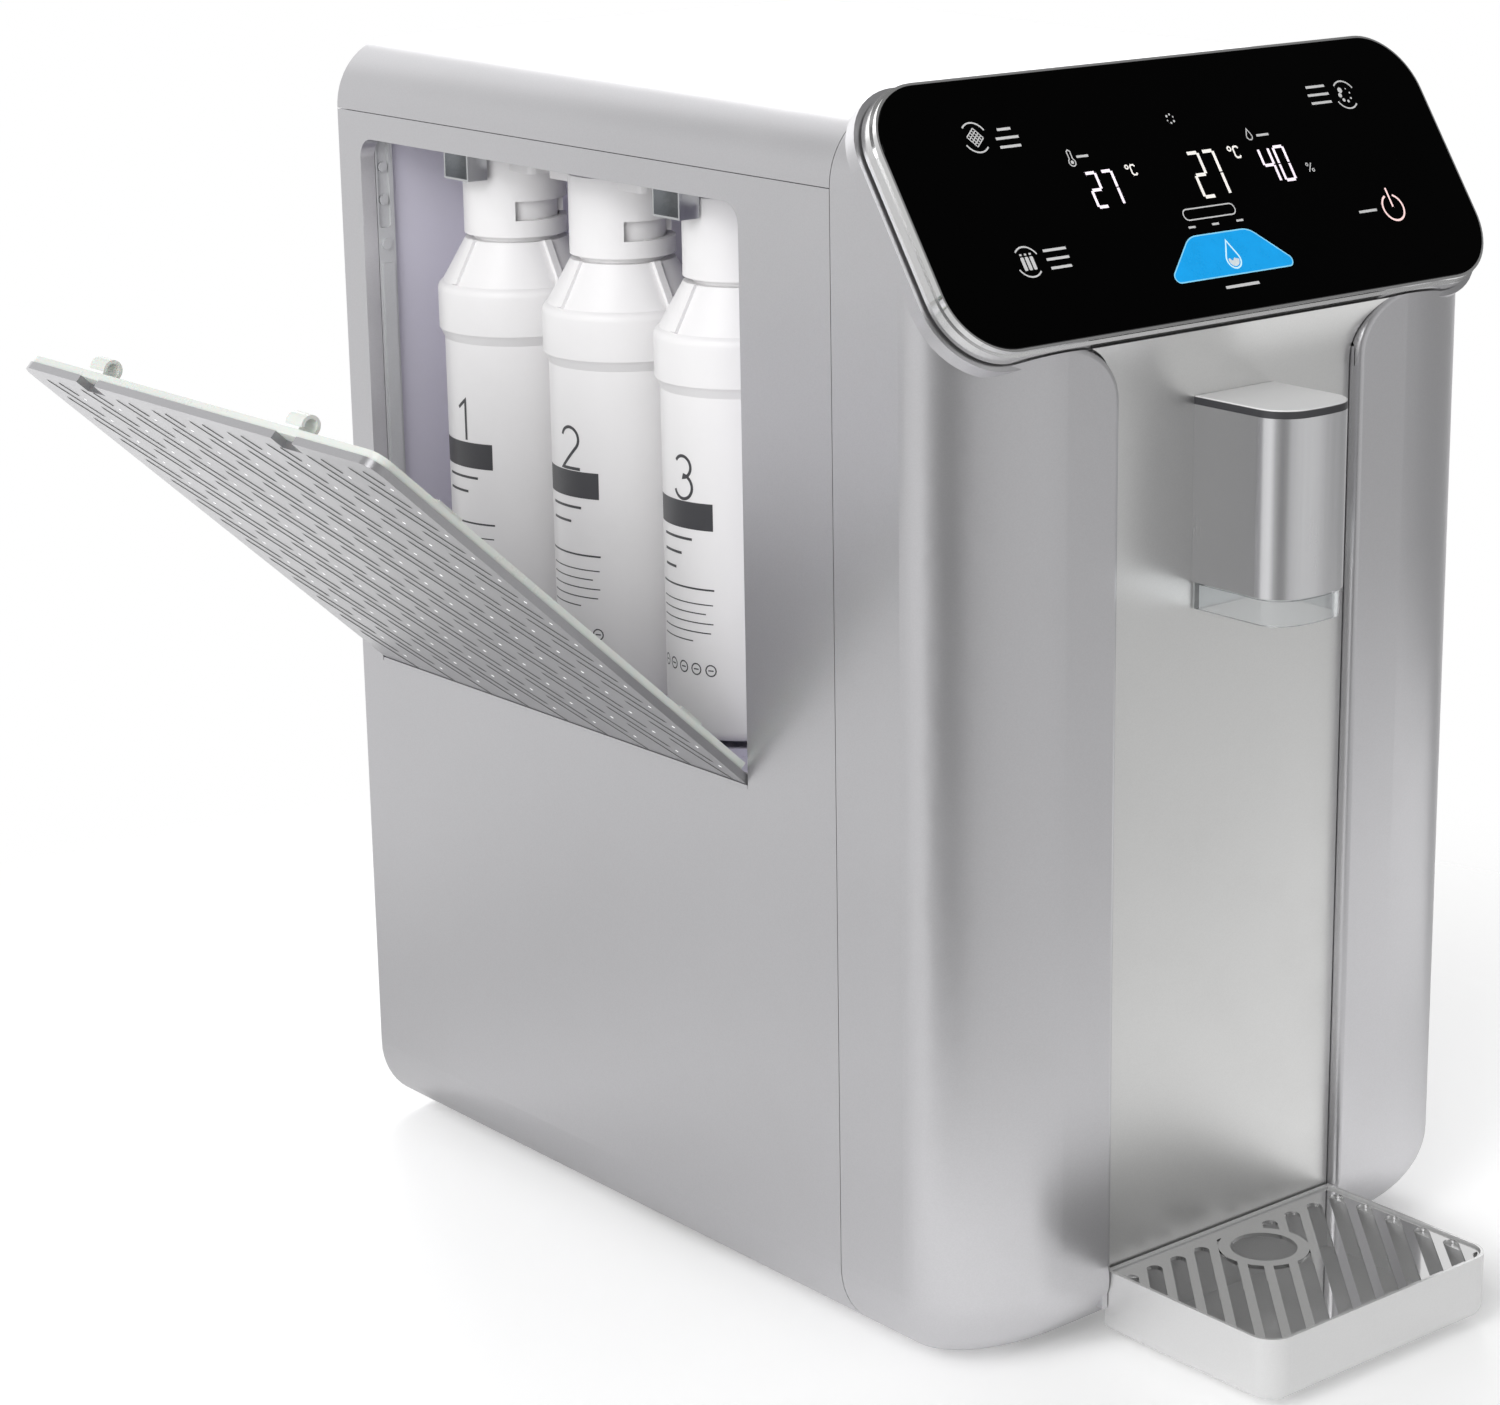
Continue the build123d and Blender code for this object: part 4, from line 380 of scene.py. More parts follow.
# %% Handling marks
marks, given = effect_group("handling_marks", (
    ("Color In", COLOUR, (0.6, 0.6, 0.6, 1)), ("Dust", COLOUR, (0.62, 0.61, 0.6, 1)),
    ("Roughness In", FLOAT, 0.3), ("Amount", FLOAT, 0.1), ("Scale", FLOAT, 30.0)))
ROUGHER = 0.5
patch = remap(marks, noise(marks, on_object(marks), given["Scale"], 5.0, 0.62), 0.5, 0.72)
amount = math_node(marks, "MULTIPLY", patch, given["Amount"])
added = math_node(marks, "MULTIPLY", amount, ROUGHER)
puts_out(marks, mix_colour(marks, amount, given["Color In"], given["Dust"]),
         math_node(marks, "ADD", given["Roughness In"], added), amount)
print("groups", [g.name for g in bpy.data.node_groups])

# %% [markdown]
# ## From groups to finishes
# A finish is one Principled shader, one effect group for its grain, the marks
# group on top, and a small bump. Writing that wiring twenty times would hide
# what differs, so one function wires it and each finish below reads as a
# short list of its own values: a colour as its lightness, the contrast of its
# darker tone and a tint, and the range of its roughness.

# %% Wire a finish
finishes = {}


def finish(name, effect, tone, rough, values=(), bump=0.02, grit=0.00002, wear=0.06, **constants):
    """A material from an effect group; constants go straight to the shader's sockets."""
    material = bpy.data.materials.new("finish_" + name)
    material.use_nodes = True
    tree = material.node_tree
    shader = tree.nodes["Principled BSDF"]
    for label, value in constants.items():
        shader.inputs[label.replace("_", " ")].default_value = value
    own = {**tones(*tone), "Rough Low": rough[0], "Rough High": rough[1], **dict(values)}
    base = add_node(tree, "ShaderNodeGroup", own, node_tree=effect).outputs
    handled = add_node(tree, "ShaderNodeGroup", {
        "Color In": base["Color"], "Roughness In": base["Roughness"], "Amount": wear},
        node_tree=marks).outputs
    relief = add_node(tree, "ShaderNodeBump", {"Strength": bump, "Distance": grit,
                                               "Height": base["Height"]}).outputs
    for output, label in ((handled["Color"], "Base Color"), (handled["Roughness"], "Roughness"),
                          (relief["Normal"], "Normal")):
        tree.links.new(output, shader.inputs[label])
    finishes[name] = material
    return material


def tones(light, contrast, tint=(1, 1, 1)):
    """Light and dark values of one colour for an effect group."""
    pale = [light * t for t in tint]
    return {"Light": (*pale, 1), "Dark": (*[v * contrast for v in pale], 1)}


# %% [markdown]
# ## Silver lacquers and bare metals
# The cabinet, panel, spout, door and display frame are plastic sprayed with
# silver lacquer: fine aluminium flake under a satin clear coat. A nearly full
# metal with a medium roughness gives the broad soft reflections, and a thin
# coat keeps a little gloss over them. The display frame is the glossiest, and
# the spout shows the fine upright brushing of its tooling.

# %% Silver finishes
finish("cabinet_silver", flake, (0.71, 0.94, (1, 0.993, 1.02)), (0.30, 0.34), bump=0.04,
       Metallic=0.95, Coat_Weight=0.1, Coat_Roughness=0.25)
finish("panel_silver", flake, (0.85, 0.95, (1, 1, 0.99)), (0.32, 0.38), bump=0.03,
       Metallic=0.96, Coat_Weight=0.08, Coat_Roughness=0.15)
finish("spout_silver", brushed, (0.85, 0.97, (0.99, 0.99, 1.01)), (0.22, 0.26),
       {"Stretch": (900.0, 900.0, 16.0)}, bump=0.015,
       Metallic=0.96, Coat_Weight=0.08, Coat_Roughness=0.2)
finish("display_silver", flake, (0.86, 0.96), (0.12, 0.18), bump=0.04, Metallic=0.95)
finish("tray_silver", flake, (0.74, 0.96), (0.3, 0.36), bump=0.03,
       Metallic=0.62, Coat_Weight=0.15, Coat_Roughness=0.2)
# the door's lacquer is the cabinet's silver, set darker as painted shade on its downward-facing
# skin
finish("door_silver", flake, (0.47, 0.94, (0.995, 0.99, 1.02)), (0.3, 0.38), bump=0.04,
       Metallic=0.85, Coat_Weight=0.15, Coat_Roughness=0.25)
finish("jamb_grey", flake, (0.66, 0.95, (0.99, 1.0, 1.02)), (0.3, 0.4), Metallic=0.3)
finish("chrome_trim", brushed, (0.88, 0.98), (0.03, 0.06), {"Stretch": (40.0, 40.0, 40.0)},
       bump=0.0, wear=0.01, Metallic=1.0)
finish("steel", brushed, (0.7, 0.95, (0.98, 1.0, 1.02)), (0.16, 0.24),
       {"Stretch": (500.0, 60.0, 500.0)}, bump=0.01, Metallic=1.0)
finish("copper", brushed, (0.9, 0.85, (1.0, 0.52, 0.34)), (0.22, 0.4),
       {"Stretch": (300.0, 300.0, 300.0)}, bump=0.05, Metallic=1.0)

# %% [markdown]
# ## Plastics, rubber and glass
# Moulded parts are never quite even: the group gives each a slow drift in
# tone and a fine grain. Glass is the exception that keeps plain values for
# its metal and transmission, so that it stays clear in any renderer.

# %% Plastic and glass finishes
finish("black_glass", moulded, (0.0008, 0.6), (0.02, 0.05), {"Grain Scale": 60.0},
       bump=0.0, wear=0.0, Specular_IOR_Level=0.03, Metallic=0.0)
finish("clear_plastic", moulded, (0.9, 0.97, (0.97, 0.99, 1.0)), (0.06, 0.14), wear=0.02,
       Transmission_Weight=0.9, IOR=1.49)
finish("lamp_glass", moulded, (0.92, 0.98), (0.03, 0.06), bump=0.0, wear=0.02,
       Transmission_Weight=0.9, IOR=1.46)
finish("tank_plastic", moulded, (0.74, 0.95, (0.95, 0.98, 1.0)), (0.3, 0.45),
       Transmission_Weight=0.25, IOR=1.45)
finish("liner_lavender", moulded, (0.78, 0.95, (0.97, 0.94, 1.08)), (0.4, 0.5))
finish("door_rim", moulded, (0.70, 0.95, (0.96, 1.0, 0.95)), (0.25, 0.35),
       Subsurface_Weight=0.15, Subsurface_Scale=0.002)
finish("filter_white", moulded, (0.86, 0.98, (1, 0.99, 0.995)), (0.3, 0.42))
finish("dark_plastic", moulded, (0.03, 0.85), (0.4, 0.5), bump=0.08, wear=0.01)
finish("foot_rubber", moulded, (0.03, 0.6), (0.7, 0.85), bump=0.1, wear=0.2)
finish("compressor_black", moulded, (0.02, 0.6), (0.3, 0.45), bump=0.05, Coat_Weight=0.3)
finish("board_green", moulded, (0.12, 0.75, (0.25, 1.0, 0.4)), (0.3, 0.45))
finish("filter_mesh", moulded, (0.55, 0.8), (0.8, 0.95), {"Grain Scale": 500.0},
       bump=0.4, grit=0.0004)

# %% [markdown]
# ## A cap with a painted dark reflection on its edge
# The spout's cap is bright on top, while its thin polished edge mirrors the
# dark underside of the display. That reflection is painted: the upright part of
# the surface normal is a mask between the lacquer and a painted dark edge.

# %% Spout cap
# the dark edge colour is a painted reflection of the display's underside
CAP_EDGE_PAINTED_REFLECTION = (0.05, 0.05, 0.055, 1)
cap = finish("spout_cap", flake, (0.95, 0.97), (0.28, 0.34), bump=0.01, Metallic=0.15)
tree = cap.node_tree
base_colour = tree.nodes["Principled BSDF"].inputs["Base Color"]
normal = add_node(tree, "ShaderNodeNewGeometry").outputs["Normal"]
upright = add_node(tree, "ShaderNodeSeparateXYZ", {0: normal}).outputs["Z"]
lacquer = base_colour.links[0].from_socket
# painted reflection: dark on the edge, lacquer on top, by how upright the normal is
tree.links.new(mix_colour(tree, remap(tree, upright), CAP_EDGE_PAINTED_REFLECTION, lacquer), base_colour)

# %% Hand the finishes to the solids
for solid in nodes.values():
    for slot in solid.material_slots:
        slot.material = finishes[slot.material.name]
nodes["spout_cap"].material_slots[0].material = cap
nodes["jamb_strip"].material_slots[0].material = finishes["jamb_grey"]
print("finishes", len(finishes), "on", len(nodes), "solids")

# %% [markdown]
# ## Flat shapes for printed marks
# Everything on the glass and the labels is a flat mark: a stroke, a disc or a
# filled outline. Text objects would do for words, but the marks here are
# symbols and figures, so small mesh helpers draw strokes of an even width on
# a sheet in millimetres. The sheet is then laid on the glass by one matrix.

# %% Strokes and fills


def unit(vector):
    """The vector at length one, or itself if it has no length."""
    return vector.normalized() if vector.length else vector


def stroke(sheet, points, width, closed=False):
    """A line of even width along points on the sheet, as a strip of quads."""
    count = len(points)
    left, right_side = [], []
    for i, point in enumerate(points):
        before = points[(i - 1) % count] if closed or i else point
        after = points[(i + 1) % count] if closed or i < count - 1 else point
        along_in = Vector((point[0] - before[0], point[1] - before[1]))
        along_out = Vector((after[0] - point[0], after[1] - point[1]))
        along = unit(unit(along_in) + unit(along_out))
        side = Vector((-along.y, along.x))
        reference = along_out if along_out.length else along_in
        # a corner is wider than the line, by at most twice
        stretch = 1 / max(0.5, abs(side.dot(Vector((-reference.y, reference.x)).normalized())))
        offset = side * width / 2 * stretch
        left.append(sheet.verts.new((point[0] + offset.x, point[1] + offset.y, 0)))
        right_side.append(sheet.verts.new((point[0] - offset.x, point[1] - offset.y, 0)))
    for i in range(count if closed else count - 1):
        j = (i + 1) % count
        sheet.faces.new((right_side[i], right_side[j], left[j], left[i]))


def filled(sheet, points):
    """A filled outline, given counter-clockwise."""
    sheet.faces.new([sheet.verts.new((x, y, 0)) for x, y in points])


# %% Round shapes


def arc_points(x, y, radius, start, sweep, steps=24):
    """Points along an arc, angles in degrees."""
    return [(x + radius * cos(radians(start + sweep * k / steps)),
             y + radius * sin(radians(start + sweep * k / steps))) for k in range(steps + 1)]


def round_points(x, y, radius, steps):
    """Points round a whole circle, none of them twice."""
    return arc_points(x, y, radius, 0, 360, steps)[:-1]


def disc(sheet, x, y, radius, steps=20):
    """A filled disc."""
    filled(sheet, round_points(x, y, radius, steps))


def outline_through(corners, radii, steps):
    """Outline with rounded corners: corners counter-clockwise, one radius each."""
    points = []
    for i, corner in enumerate(corners):
        here, radius = Vector(corner), radii[i]
        to_last = (Vector(corners[i - 1]) - here).normalized()
        to_next = (Vector(corners[(i + 1) % len(corners)]) - here).normalized()
        half = to_last.angle(to_next) / 2
        reach = radius / tan(half)
        begin, end = here + to_last * reach, here + to_next * reach
        centre = here + (to_last + to_next).normalized() * radius / sin(half)
        first = atan2(begin.y - centre.y, begin.x - centre.x)
        last = atan2(end.y - centre.y, end.x - centre.x)
        while last < first:
            last += 2 * pi
        for k in range(steps + 1):
            angle = first + (last - first) * k / steps
            points.append((centre.x + radius * cos(angle), centre.y + radius * sin(angle)))
    return points


def rectangle(x0, y0, x1, y1):
    """The corners of an upright rectangle, counter-clockwise."""
    return ((x0, y0), (x1, y0), (x1, y1), (x0, y1))


# %% From a drawing to a piece


def new_mesh(name, drawing):
    """A mesh from a finished drawing, which is freed."""
    mesh = bpy.data.meshes.new(name)
    drawing.to_mesh(mesh)
    drawing.free()
    return mesh


def new_piece(name, mesh, body, material=None):
    """An object that rides on a body and takes its finish from a slot."""
    piece = add_object(name, mesh)
    if material:
        mesh.materials.append(material)
    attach(piece, body)
    return piece


# %% [markdown]
# ## The display glass
# Under the black glass sit lit figures and printed symbols. The glass leans
# back 34 degrees, so a matrix with that lean carries a flat sheet, drawn
# across and up from the lower edge, onto its face. The sheet floats a few
# hundredths of a millimetre above the glass, which is enough to be seen.

# %% Lay a sheet on the glass
LEAN = radians(34)
GLASS_FOOT = at(0, -3, 378.7)
ON_GLASS = axes_at(GLASS_FOOT, (1, 0, 0), (0, sin(LEAN), cos(LEAN)), (0, -cos(LEAN), sin(LEAN)), MM)


def on_display(name, sheet, material, lift=0.04):
    """Turn a flat sheet into a piece on the glass."""
    bmesh.ops.triangulate(sheet, faces=[f for f in sheet.faces if len(f.verts) > 4])
    lifted = ON_GLASS @ Matrix.Translation((0, 0, lift))
    bmesh.ops.transform(sheet, matrix=lifted, verts=sheet.verts)
    new_piece(name, new_mesh(name, sheet), "cabinet", material)


def glow(name, colour, strength, drift=0.12):
    """A lit mark: paint that also shines, a little uneven like a real light guide."""
    material = finish(name, moulded, (1.0, 1 - drift, colour), (0.25, 0.35),
                      {"Grain Scale": 700.0, "Cloud Scale": 120.0}, bump=0.0, wear=0.0)
    shader = material.node_tree.nodes["Principled BSDF"]
    source = shader.inputs["Base Color"].links[0].from_socket
    material.node_tree.links.new(source, shader.inputs["Emission Color"])
    shader.inputs["Emission Strength"].default_value = strength
    return material


print("glass leans", round(LEAN, 4), "rad; foot at", [round(v, 4) for v in GLASS_FOOT])

# %% [markdown]
# ## Lit figures
# The three numbers are seven-segment figures, each a set of short bars that
# are cut square at their ends. A table says which bars each figure lights.
# Small marks for degrees belong to the same lit layer as the main figure.

# %% Seven-segment figures
SEGMENTS = {"2": "abged", "7": "abc", "4": "fgbc", "0": "abcdef"}


def figure(sheet, digit, x, y, wide, tall, bar):
    """One seven-segment figure with its lower left corner at (x, y)."""
    gap, half = bar * 0.2, tall / 2
    ends = {"a": ((x + gap, y + tall), (x + wide - gap, y + tall)),
            "g": ((x + gap, y + half), (x + wide - gap, y + half)),
            "d": ((x + gap, y), (x + wide - gap, y)),
            "f": ((x, y + half + gap), (x, y + tall - gap)),
            "e": ((x, y + gap), (x, y + half - gap)),
            "b": ((x + wide, y + half + gap), (x + wide, y + tall - gap)),
            "c": ((x + wide, y + gap), (x + wide, y + half - gap))}
    for name in SEGMENTS[digit]:
        stroke(sheet, ends[name], bar)


def celsius(sheet, x, y, size):
    """A degree ring and a C, drawn in shares of their size."""
    stroke(sheet, round_points(x - size * 0.5, y + size * 0.32, size * 0.17, 12), size * 0.12, True)
    stroke(sheet, [(x + size * across, y + size * up) for across, up in (
        (0.42, 0.3), (0.3, 0.45), (0.0, 0.45), (-0.12, 0.3), (-0.12, -0.3), (0.0, -0.45),
        (0.3, -0.45), (0.42, -0.3))], size * 0.15)


# digits with their left edges, then foot, width, height and bar
FIGURES_SIDE = (((("2", -49.8), ("7", -42.2)), (45.6, 4.6, 13.0, 1.15)),
                ((("4", 35.8), ("0", 43.4)), (46.0, 4.9, 13.3, 1.15)))
FIGURES_MAIN = (((("2", 0.8), ("7", 8.4)), (43.9, 5.2, 17.2, 1.3)),)
DEGREES = ((-27.6, 57.7, 4.2), (24.4, 59.3, 4.8))


def figures(numbers):
    """A sheet with all the figures of some numbers."""
    sheet = bmesh.new()
    for digits, sizes in numbers:
        for digit, x in digits:
            figure(sheet, digit, x, *sizes)
    return sheet


main_sheet = figures(FIGURES_MAIN)
for x, y, size in DEGREES:
    celsius(main_sheet, x, y, size)
on_display("display_figures_side", figures(FIGURES_SIDE), glow("lit_lilac", (1.0, 0.9, 1.0), 0.5))
on_display("display_figures_main", main_sheet, glow("lit_white", (0.98, 0.95, 0.9), 0.35))
print("figures drawn")

# %% [markdown]
# ## Printed symbols
# Round the edge of the glass are four touch symbols with arcs round them, and
# small marks beside the figures: a thermometer, a drop, a level bar. Words
# are left out, and a few short plain bars hold their places.

# %% Helpers for symbols
WHITE_INK = glow("ink_white", (0.7, 0.7, 0.7), 0.1, 0.05)


def word_bars(sheet, x, y, lengths, bar, pitch=3.3):
    """Plain bars where a few words would stand, centred on (x, y)."""
    for i, length in enumerate(lengths):
        level_y = y - pitch * (i - (len(lengths) - 1) / 2)
        stroke(sheet, [(x - length / 2, level_y), (x + length / 2, level_y)], bar)


def drop_points(x, y, size, steps=18):
    """Outline of a water drop with its tip upwards; y is the middle of the round part."""
    return arc_points(x, y, size, 155, 230, steps) + [
        (x + size * 0.35, y + size * 1.55), (x, y + size * 2.3), (x - size * 0.35, y + size * 1.55)]


# %% Symbols beside the figures
ink = bmesh.new()
# thermometer, drop, and the plain bars
BULB = (-53.2, 63.4)
stroke(ink, arc_points(*BULB, 1.5, 120, 300, 16) + [(-52.4, 67.6), (-53.2, 68.2), (-54.0, 67.6)],
       0.45, True)
disc(ink, *BULB, 0.7)
stroke(ink, drop_points(34.5, 64.6, 1.35), 0.45, True)
for x, y, length, bar in ((-47.6, 65.2, 5.6, 0.9), (41.2, 64.6, 6.2, 0.9), (0.6, 9.3, 16.6, 1.1),
                          (-11.4, 33.4, 3.4, 0.8), (0.2, 33.4, 3.4, 0.8), (12.4, 33.4, 3.4, 0.8)):
    word_bars(ink, x, y, (length,), bar)
# ring of dots above the main figure, in three sizes
for k in range(6):
    angle = radians(60 * k + 20)
    disc(ink, 0.3 + 1.7 * cos(angle), 75.1 + 1.7 * sin(angle), 0.34 + 0.08 * (k % 3), 10)
# level bar: a pill outline
stroke(ink, outline_through(rectangle(-13, 36.1, 12.4, 40.3), (2.05,) * 4, 8), 0.5, True)
# percent mark
stroke(ink, [(56.6, 48.0), (58.8, 51.4)], 0.45)
for x, y in ((56.6, 50.9), (58.8, 48.5)):
    stroke(ink, round_points(x, y, 0.55, 10), 0.35, True)
on_display("display_marks", ink, WHITE_INK)

# %% Touch symbols
AIR, WATER, MAKING, POWER = (-91.3, 76.8), (-91.1, 29.7), (91.5, 76.2), (90.6, 29.6)
touch = bmesh.new()
for x, y in (AIR, WATER, MAKING):
    for first_angle in (25, 205):
        stroke(touch, arc_points(x, y, 5.6, first_angle, 110, 20), 0.6)
# air filter: a tilted lattice
lattice, HALF_LATTICE = Matrix.Rotation(radians(38), 2), 2.5
for i in range(5):
    shift = (i - 2) * 1.25
    for run in (((shift, -HALF_LATTICE), (shift, HALF_LATTICE)),
                ((-HALF_LATTICE, shift), (HALF_LATTICE, shift))):
        stroke(touch, [Vector(AIR) + lattice @ Vector(p) for p in run], 0.42)
# water filter: three small cartridges, each a round-cornered body and a lid
for k in (-1, 0, 1):
    x, y = WATER[0] + k * 2.1, WATER[1]
    filled(touch, outline_through(rectangle(x - 0.75, y - 3.1, x + 0.75, y + 1.9), (0.4,) * 4, 3))
    stroke(touch, [(x - 0.5, y + 2.8), (x + 0.5, y + 2.8)], 0.7)
# water making: drops that grow round a ring
for k, size in enumerate((0.35, 0.45, 0.55, 0.7, 0.85, 1.1, 1.35)):
    angle = radians(60 - 48 * k)
    disc(touch, MAKING[0] + 2.7 * cos(angle), MAKING[1] + 2.7 * sin(angle), size * 0.85, 14)
for x, y, words in ((-77.4, 75.4, (6.2, 10.4, 9.6)), (-77.5, 29.5, (10.6, 10.4, 9.6)),
                    (77.8, 77.5, (9.8, 11.0, 10.6)), (77.0, 29.7, (9.4,))):
    word_bars(touch, x, y, words, 1.0)
on_display("display_touch_symbols", touch, WHITE_INK)

power = bmesh.new()
stroke(power, arc_points(*POWER, 5.2, 112, 316, 40), 0.8)
stroke(power, [(POWER[0], POWER[1] + 0.3), (POWER[0], POWER[1] + 8.0)], 0.8)
on_display("display_power_ring", power, glow("lit_rose", (1.0, 0.72, 0.7), 0.5))
print("symbols drawn")

# %% [markdown]
# ## The pour button
# The large touch field is a sky-blue plate with a flat foot, sloping sides
# and round shoulders, edged by a paler line. A half-filled drop marks it. The
# layers are separate sheets, each a little above the one below.

# %% Pour button
BUTTON = outline_through(((-32.6, 13.6), (32.8, 13.6), (14.4, 30.0), (-15.0, 30.0)),
                         (2.2, 2.2, 9.0, 9.0), 10)
DROP_X, DROP_Y, DROP_R, FILL_R = 1.5, 19.2, 3.3, 2.55
plate, rim, sign, water = (bmesh.new() for _ in range(4))
filled(plate, BUTTON)
stroke(rim, BUTTON, 0.5, True)
stroke(sign, drop_points(DROP_X, DROP_Y, DROP_R, 28), 0.65, True)
wave = [(DROP_X - 2.5 + 0.25 * k, DROP_Y + 0.2 + 0.5 * sin(k * 0.62)) for k in range(21)]
filled(water, arc_points(DROP_X, DROP_Y, FILL_R, 180, 180, 20) + wave[::-1])
on_display("button_plate", plate, glow("sky_blue", (0.0, 0.36, 0.84), 0.32, 0.1), 0.03)
on_display("button_rim", rim, glow("pale_blue", (0.25, 0.68, 0.95), 0.3), 0.05)
on_display("button_drop", sign, glow("ice_blue", (0.62, 0.9, 1.0), 0.4), 0.06)
on_display("button_drop_level", water, glow("water_grey", (0.78, 0.86, 0.9), 0.2), 0.05)
print("button drawn with", len(BUTTON), "points")

# %% [markdown]
# ## Cartridge labels
# Each cartridge is a smooth white cylinder with a printed label: a number, a
# dark band and a few fine lines. A texture would need a file, so the marks
# are drawn flat like those on the glass and then rolled round the cylinder:
# across becomes an angle, up stays up. Long strokes have many points so that
# they follow the curve.

# %% Helpers for labels
CARTRIDGE_X, CARTRIDGE_Y, CARTRIDGE_R = -94.0, (307.0, 237.0, 167.0), 29.4


def dense(points, step=1.2):
    """The same line with a point at least every step, so that it can be rolled."""
    result = [points[0]]
    for (x0, z0), (x1, z1) in zip(points, points[1:]):
        wide, tall = x1 - x0, z1 - z0
        count = max(1, ceil(hypot(wide, tall) / step))
        result += [(x0 + wide * k / count, z0 + tall * k / count) for k in range(1, count + 1)]
    return result


def rows(sheet, start, ends, top, pitch, bar):
    """Straight printed lines below each other, from one start to their own ends."""
    for k, end in enumerate(ends):
        z = top - pitch * k
        stroke(sheet, dense([(start, z), (end, z)]), bar)


# %% Draw and roll the labels
NUMERALS = {1: [(-3.5, 12.6), (0.6, 16.0), (0.6, 0.0)],
            2: arc_points(0, 11.4, 4.5, 165, -205, 20) + [(-4.6, 0.0), (5.0, 0.0)],
            3: arc_points(0, 11.9, 4.0, 150, -235, 18) + arc_points(0, 4.4, 4.5, 82, -245, 20)}
NUMERAL_X, NUMERAL_Z = 2.5, 301.6
NAME_ENDS, TEXT_ENDS = (9.5, 4.0, 0.5), (15.0, 12.0, 15.0, 14.0, 6.0)
RING_X, RING_Z, RING_PITCH, RING_R, RING_DASH = -12.0, 237.5, 6.4, 2.1, 1.1
INK_OUT = CARTRIDGE_R + 0.06
label_ink = finish("label_ink", moulded, (0.07, 0.8, (1, 1, 1.08)), (0.4, 0.5), bump=0.0, wear=0.0)
for number, y in enumerate(CARTRIDGE_Y, 1):
    label = bmesh.new()
    stroke(label, dense([(x + NUMERAL_X, z + NUMERAL_Z) for x, z in NUMERALS[number]]), 1.2)
    rows(label, -16.0, (15.6,), 295.6, 0, 10.2)
    rows(label, -11.0, [end - number for end in NAME_ENDS[:max(number, 2)]], 286.6, 5.8, 1.0)
    rows(label, -14.5, (15.6,), 268.2, 0, 0.7)
    rows(label, -13.5, TEXT_ENDS, 262.5, 3.6, 0.45)
    for k in range(5):
        x = RING_X + RING_PITCH * k
        stroke(label, round_points(x, RING_Z, RING_R, 14), 0.5, True)
        stroke(label, [(x - RING_DASH, RING_Z), (x + RING_DASH, RING_Z)], 0.5)
    for vertex in label.verts:
        angle = pi / 2 - vertex.co.x / CARTRIDGE_R
        vertex.co = at(CARTRIDGE_X - INK_OUT * sin(angle), y - INK_OUT * cos(angle), vertex.co.y)
    name = f"label_{number}"
    new_piece(name, new_mesh(name, label), f"cartridge_{number}", label_ink)
print("labels on", len(CARTRIDGE_Y), "cartridges")

# %% [markdown]
# ## What repeats on the door and the back
# The door's skin carries rows of slanting ribs, in a dark grey that paints the
# shade of its grooves, each ending at a small hole that light shines through,
# painted as a glowing disc, and the rear wall is held by screws. They could
# be placed in loops, but a Geometry Nodes tree says it once: a grid of
# points, one part on each, turned and shortened near an edge. The result is
# made a plain mesh and laid in place by one matrix.

# %% Build the repeating tree
REPEAT_INPUTS = (
    ("Columns", "NodeSocketInt"), ("Rows", "NodeSocketInt"), ("Step X", FLOAT), ("Step Y", FLOAT),
    ("First", VECTOR), ("Limit Y", FLOAT), ("Full Length Y", FLOAT), ("Turn", FLOAT),
    ("Part", "NodeSocketObject"), ("Material", "NodeSocketMaterial"))


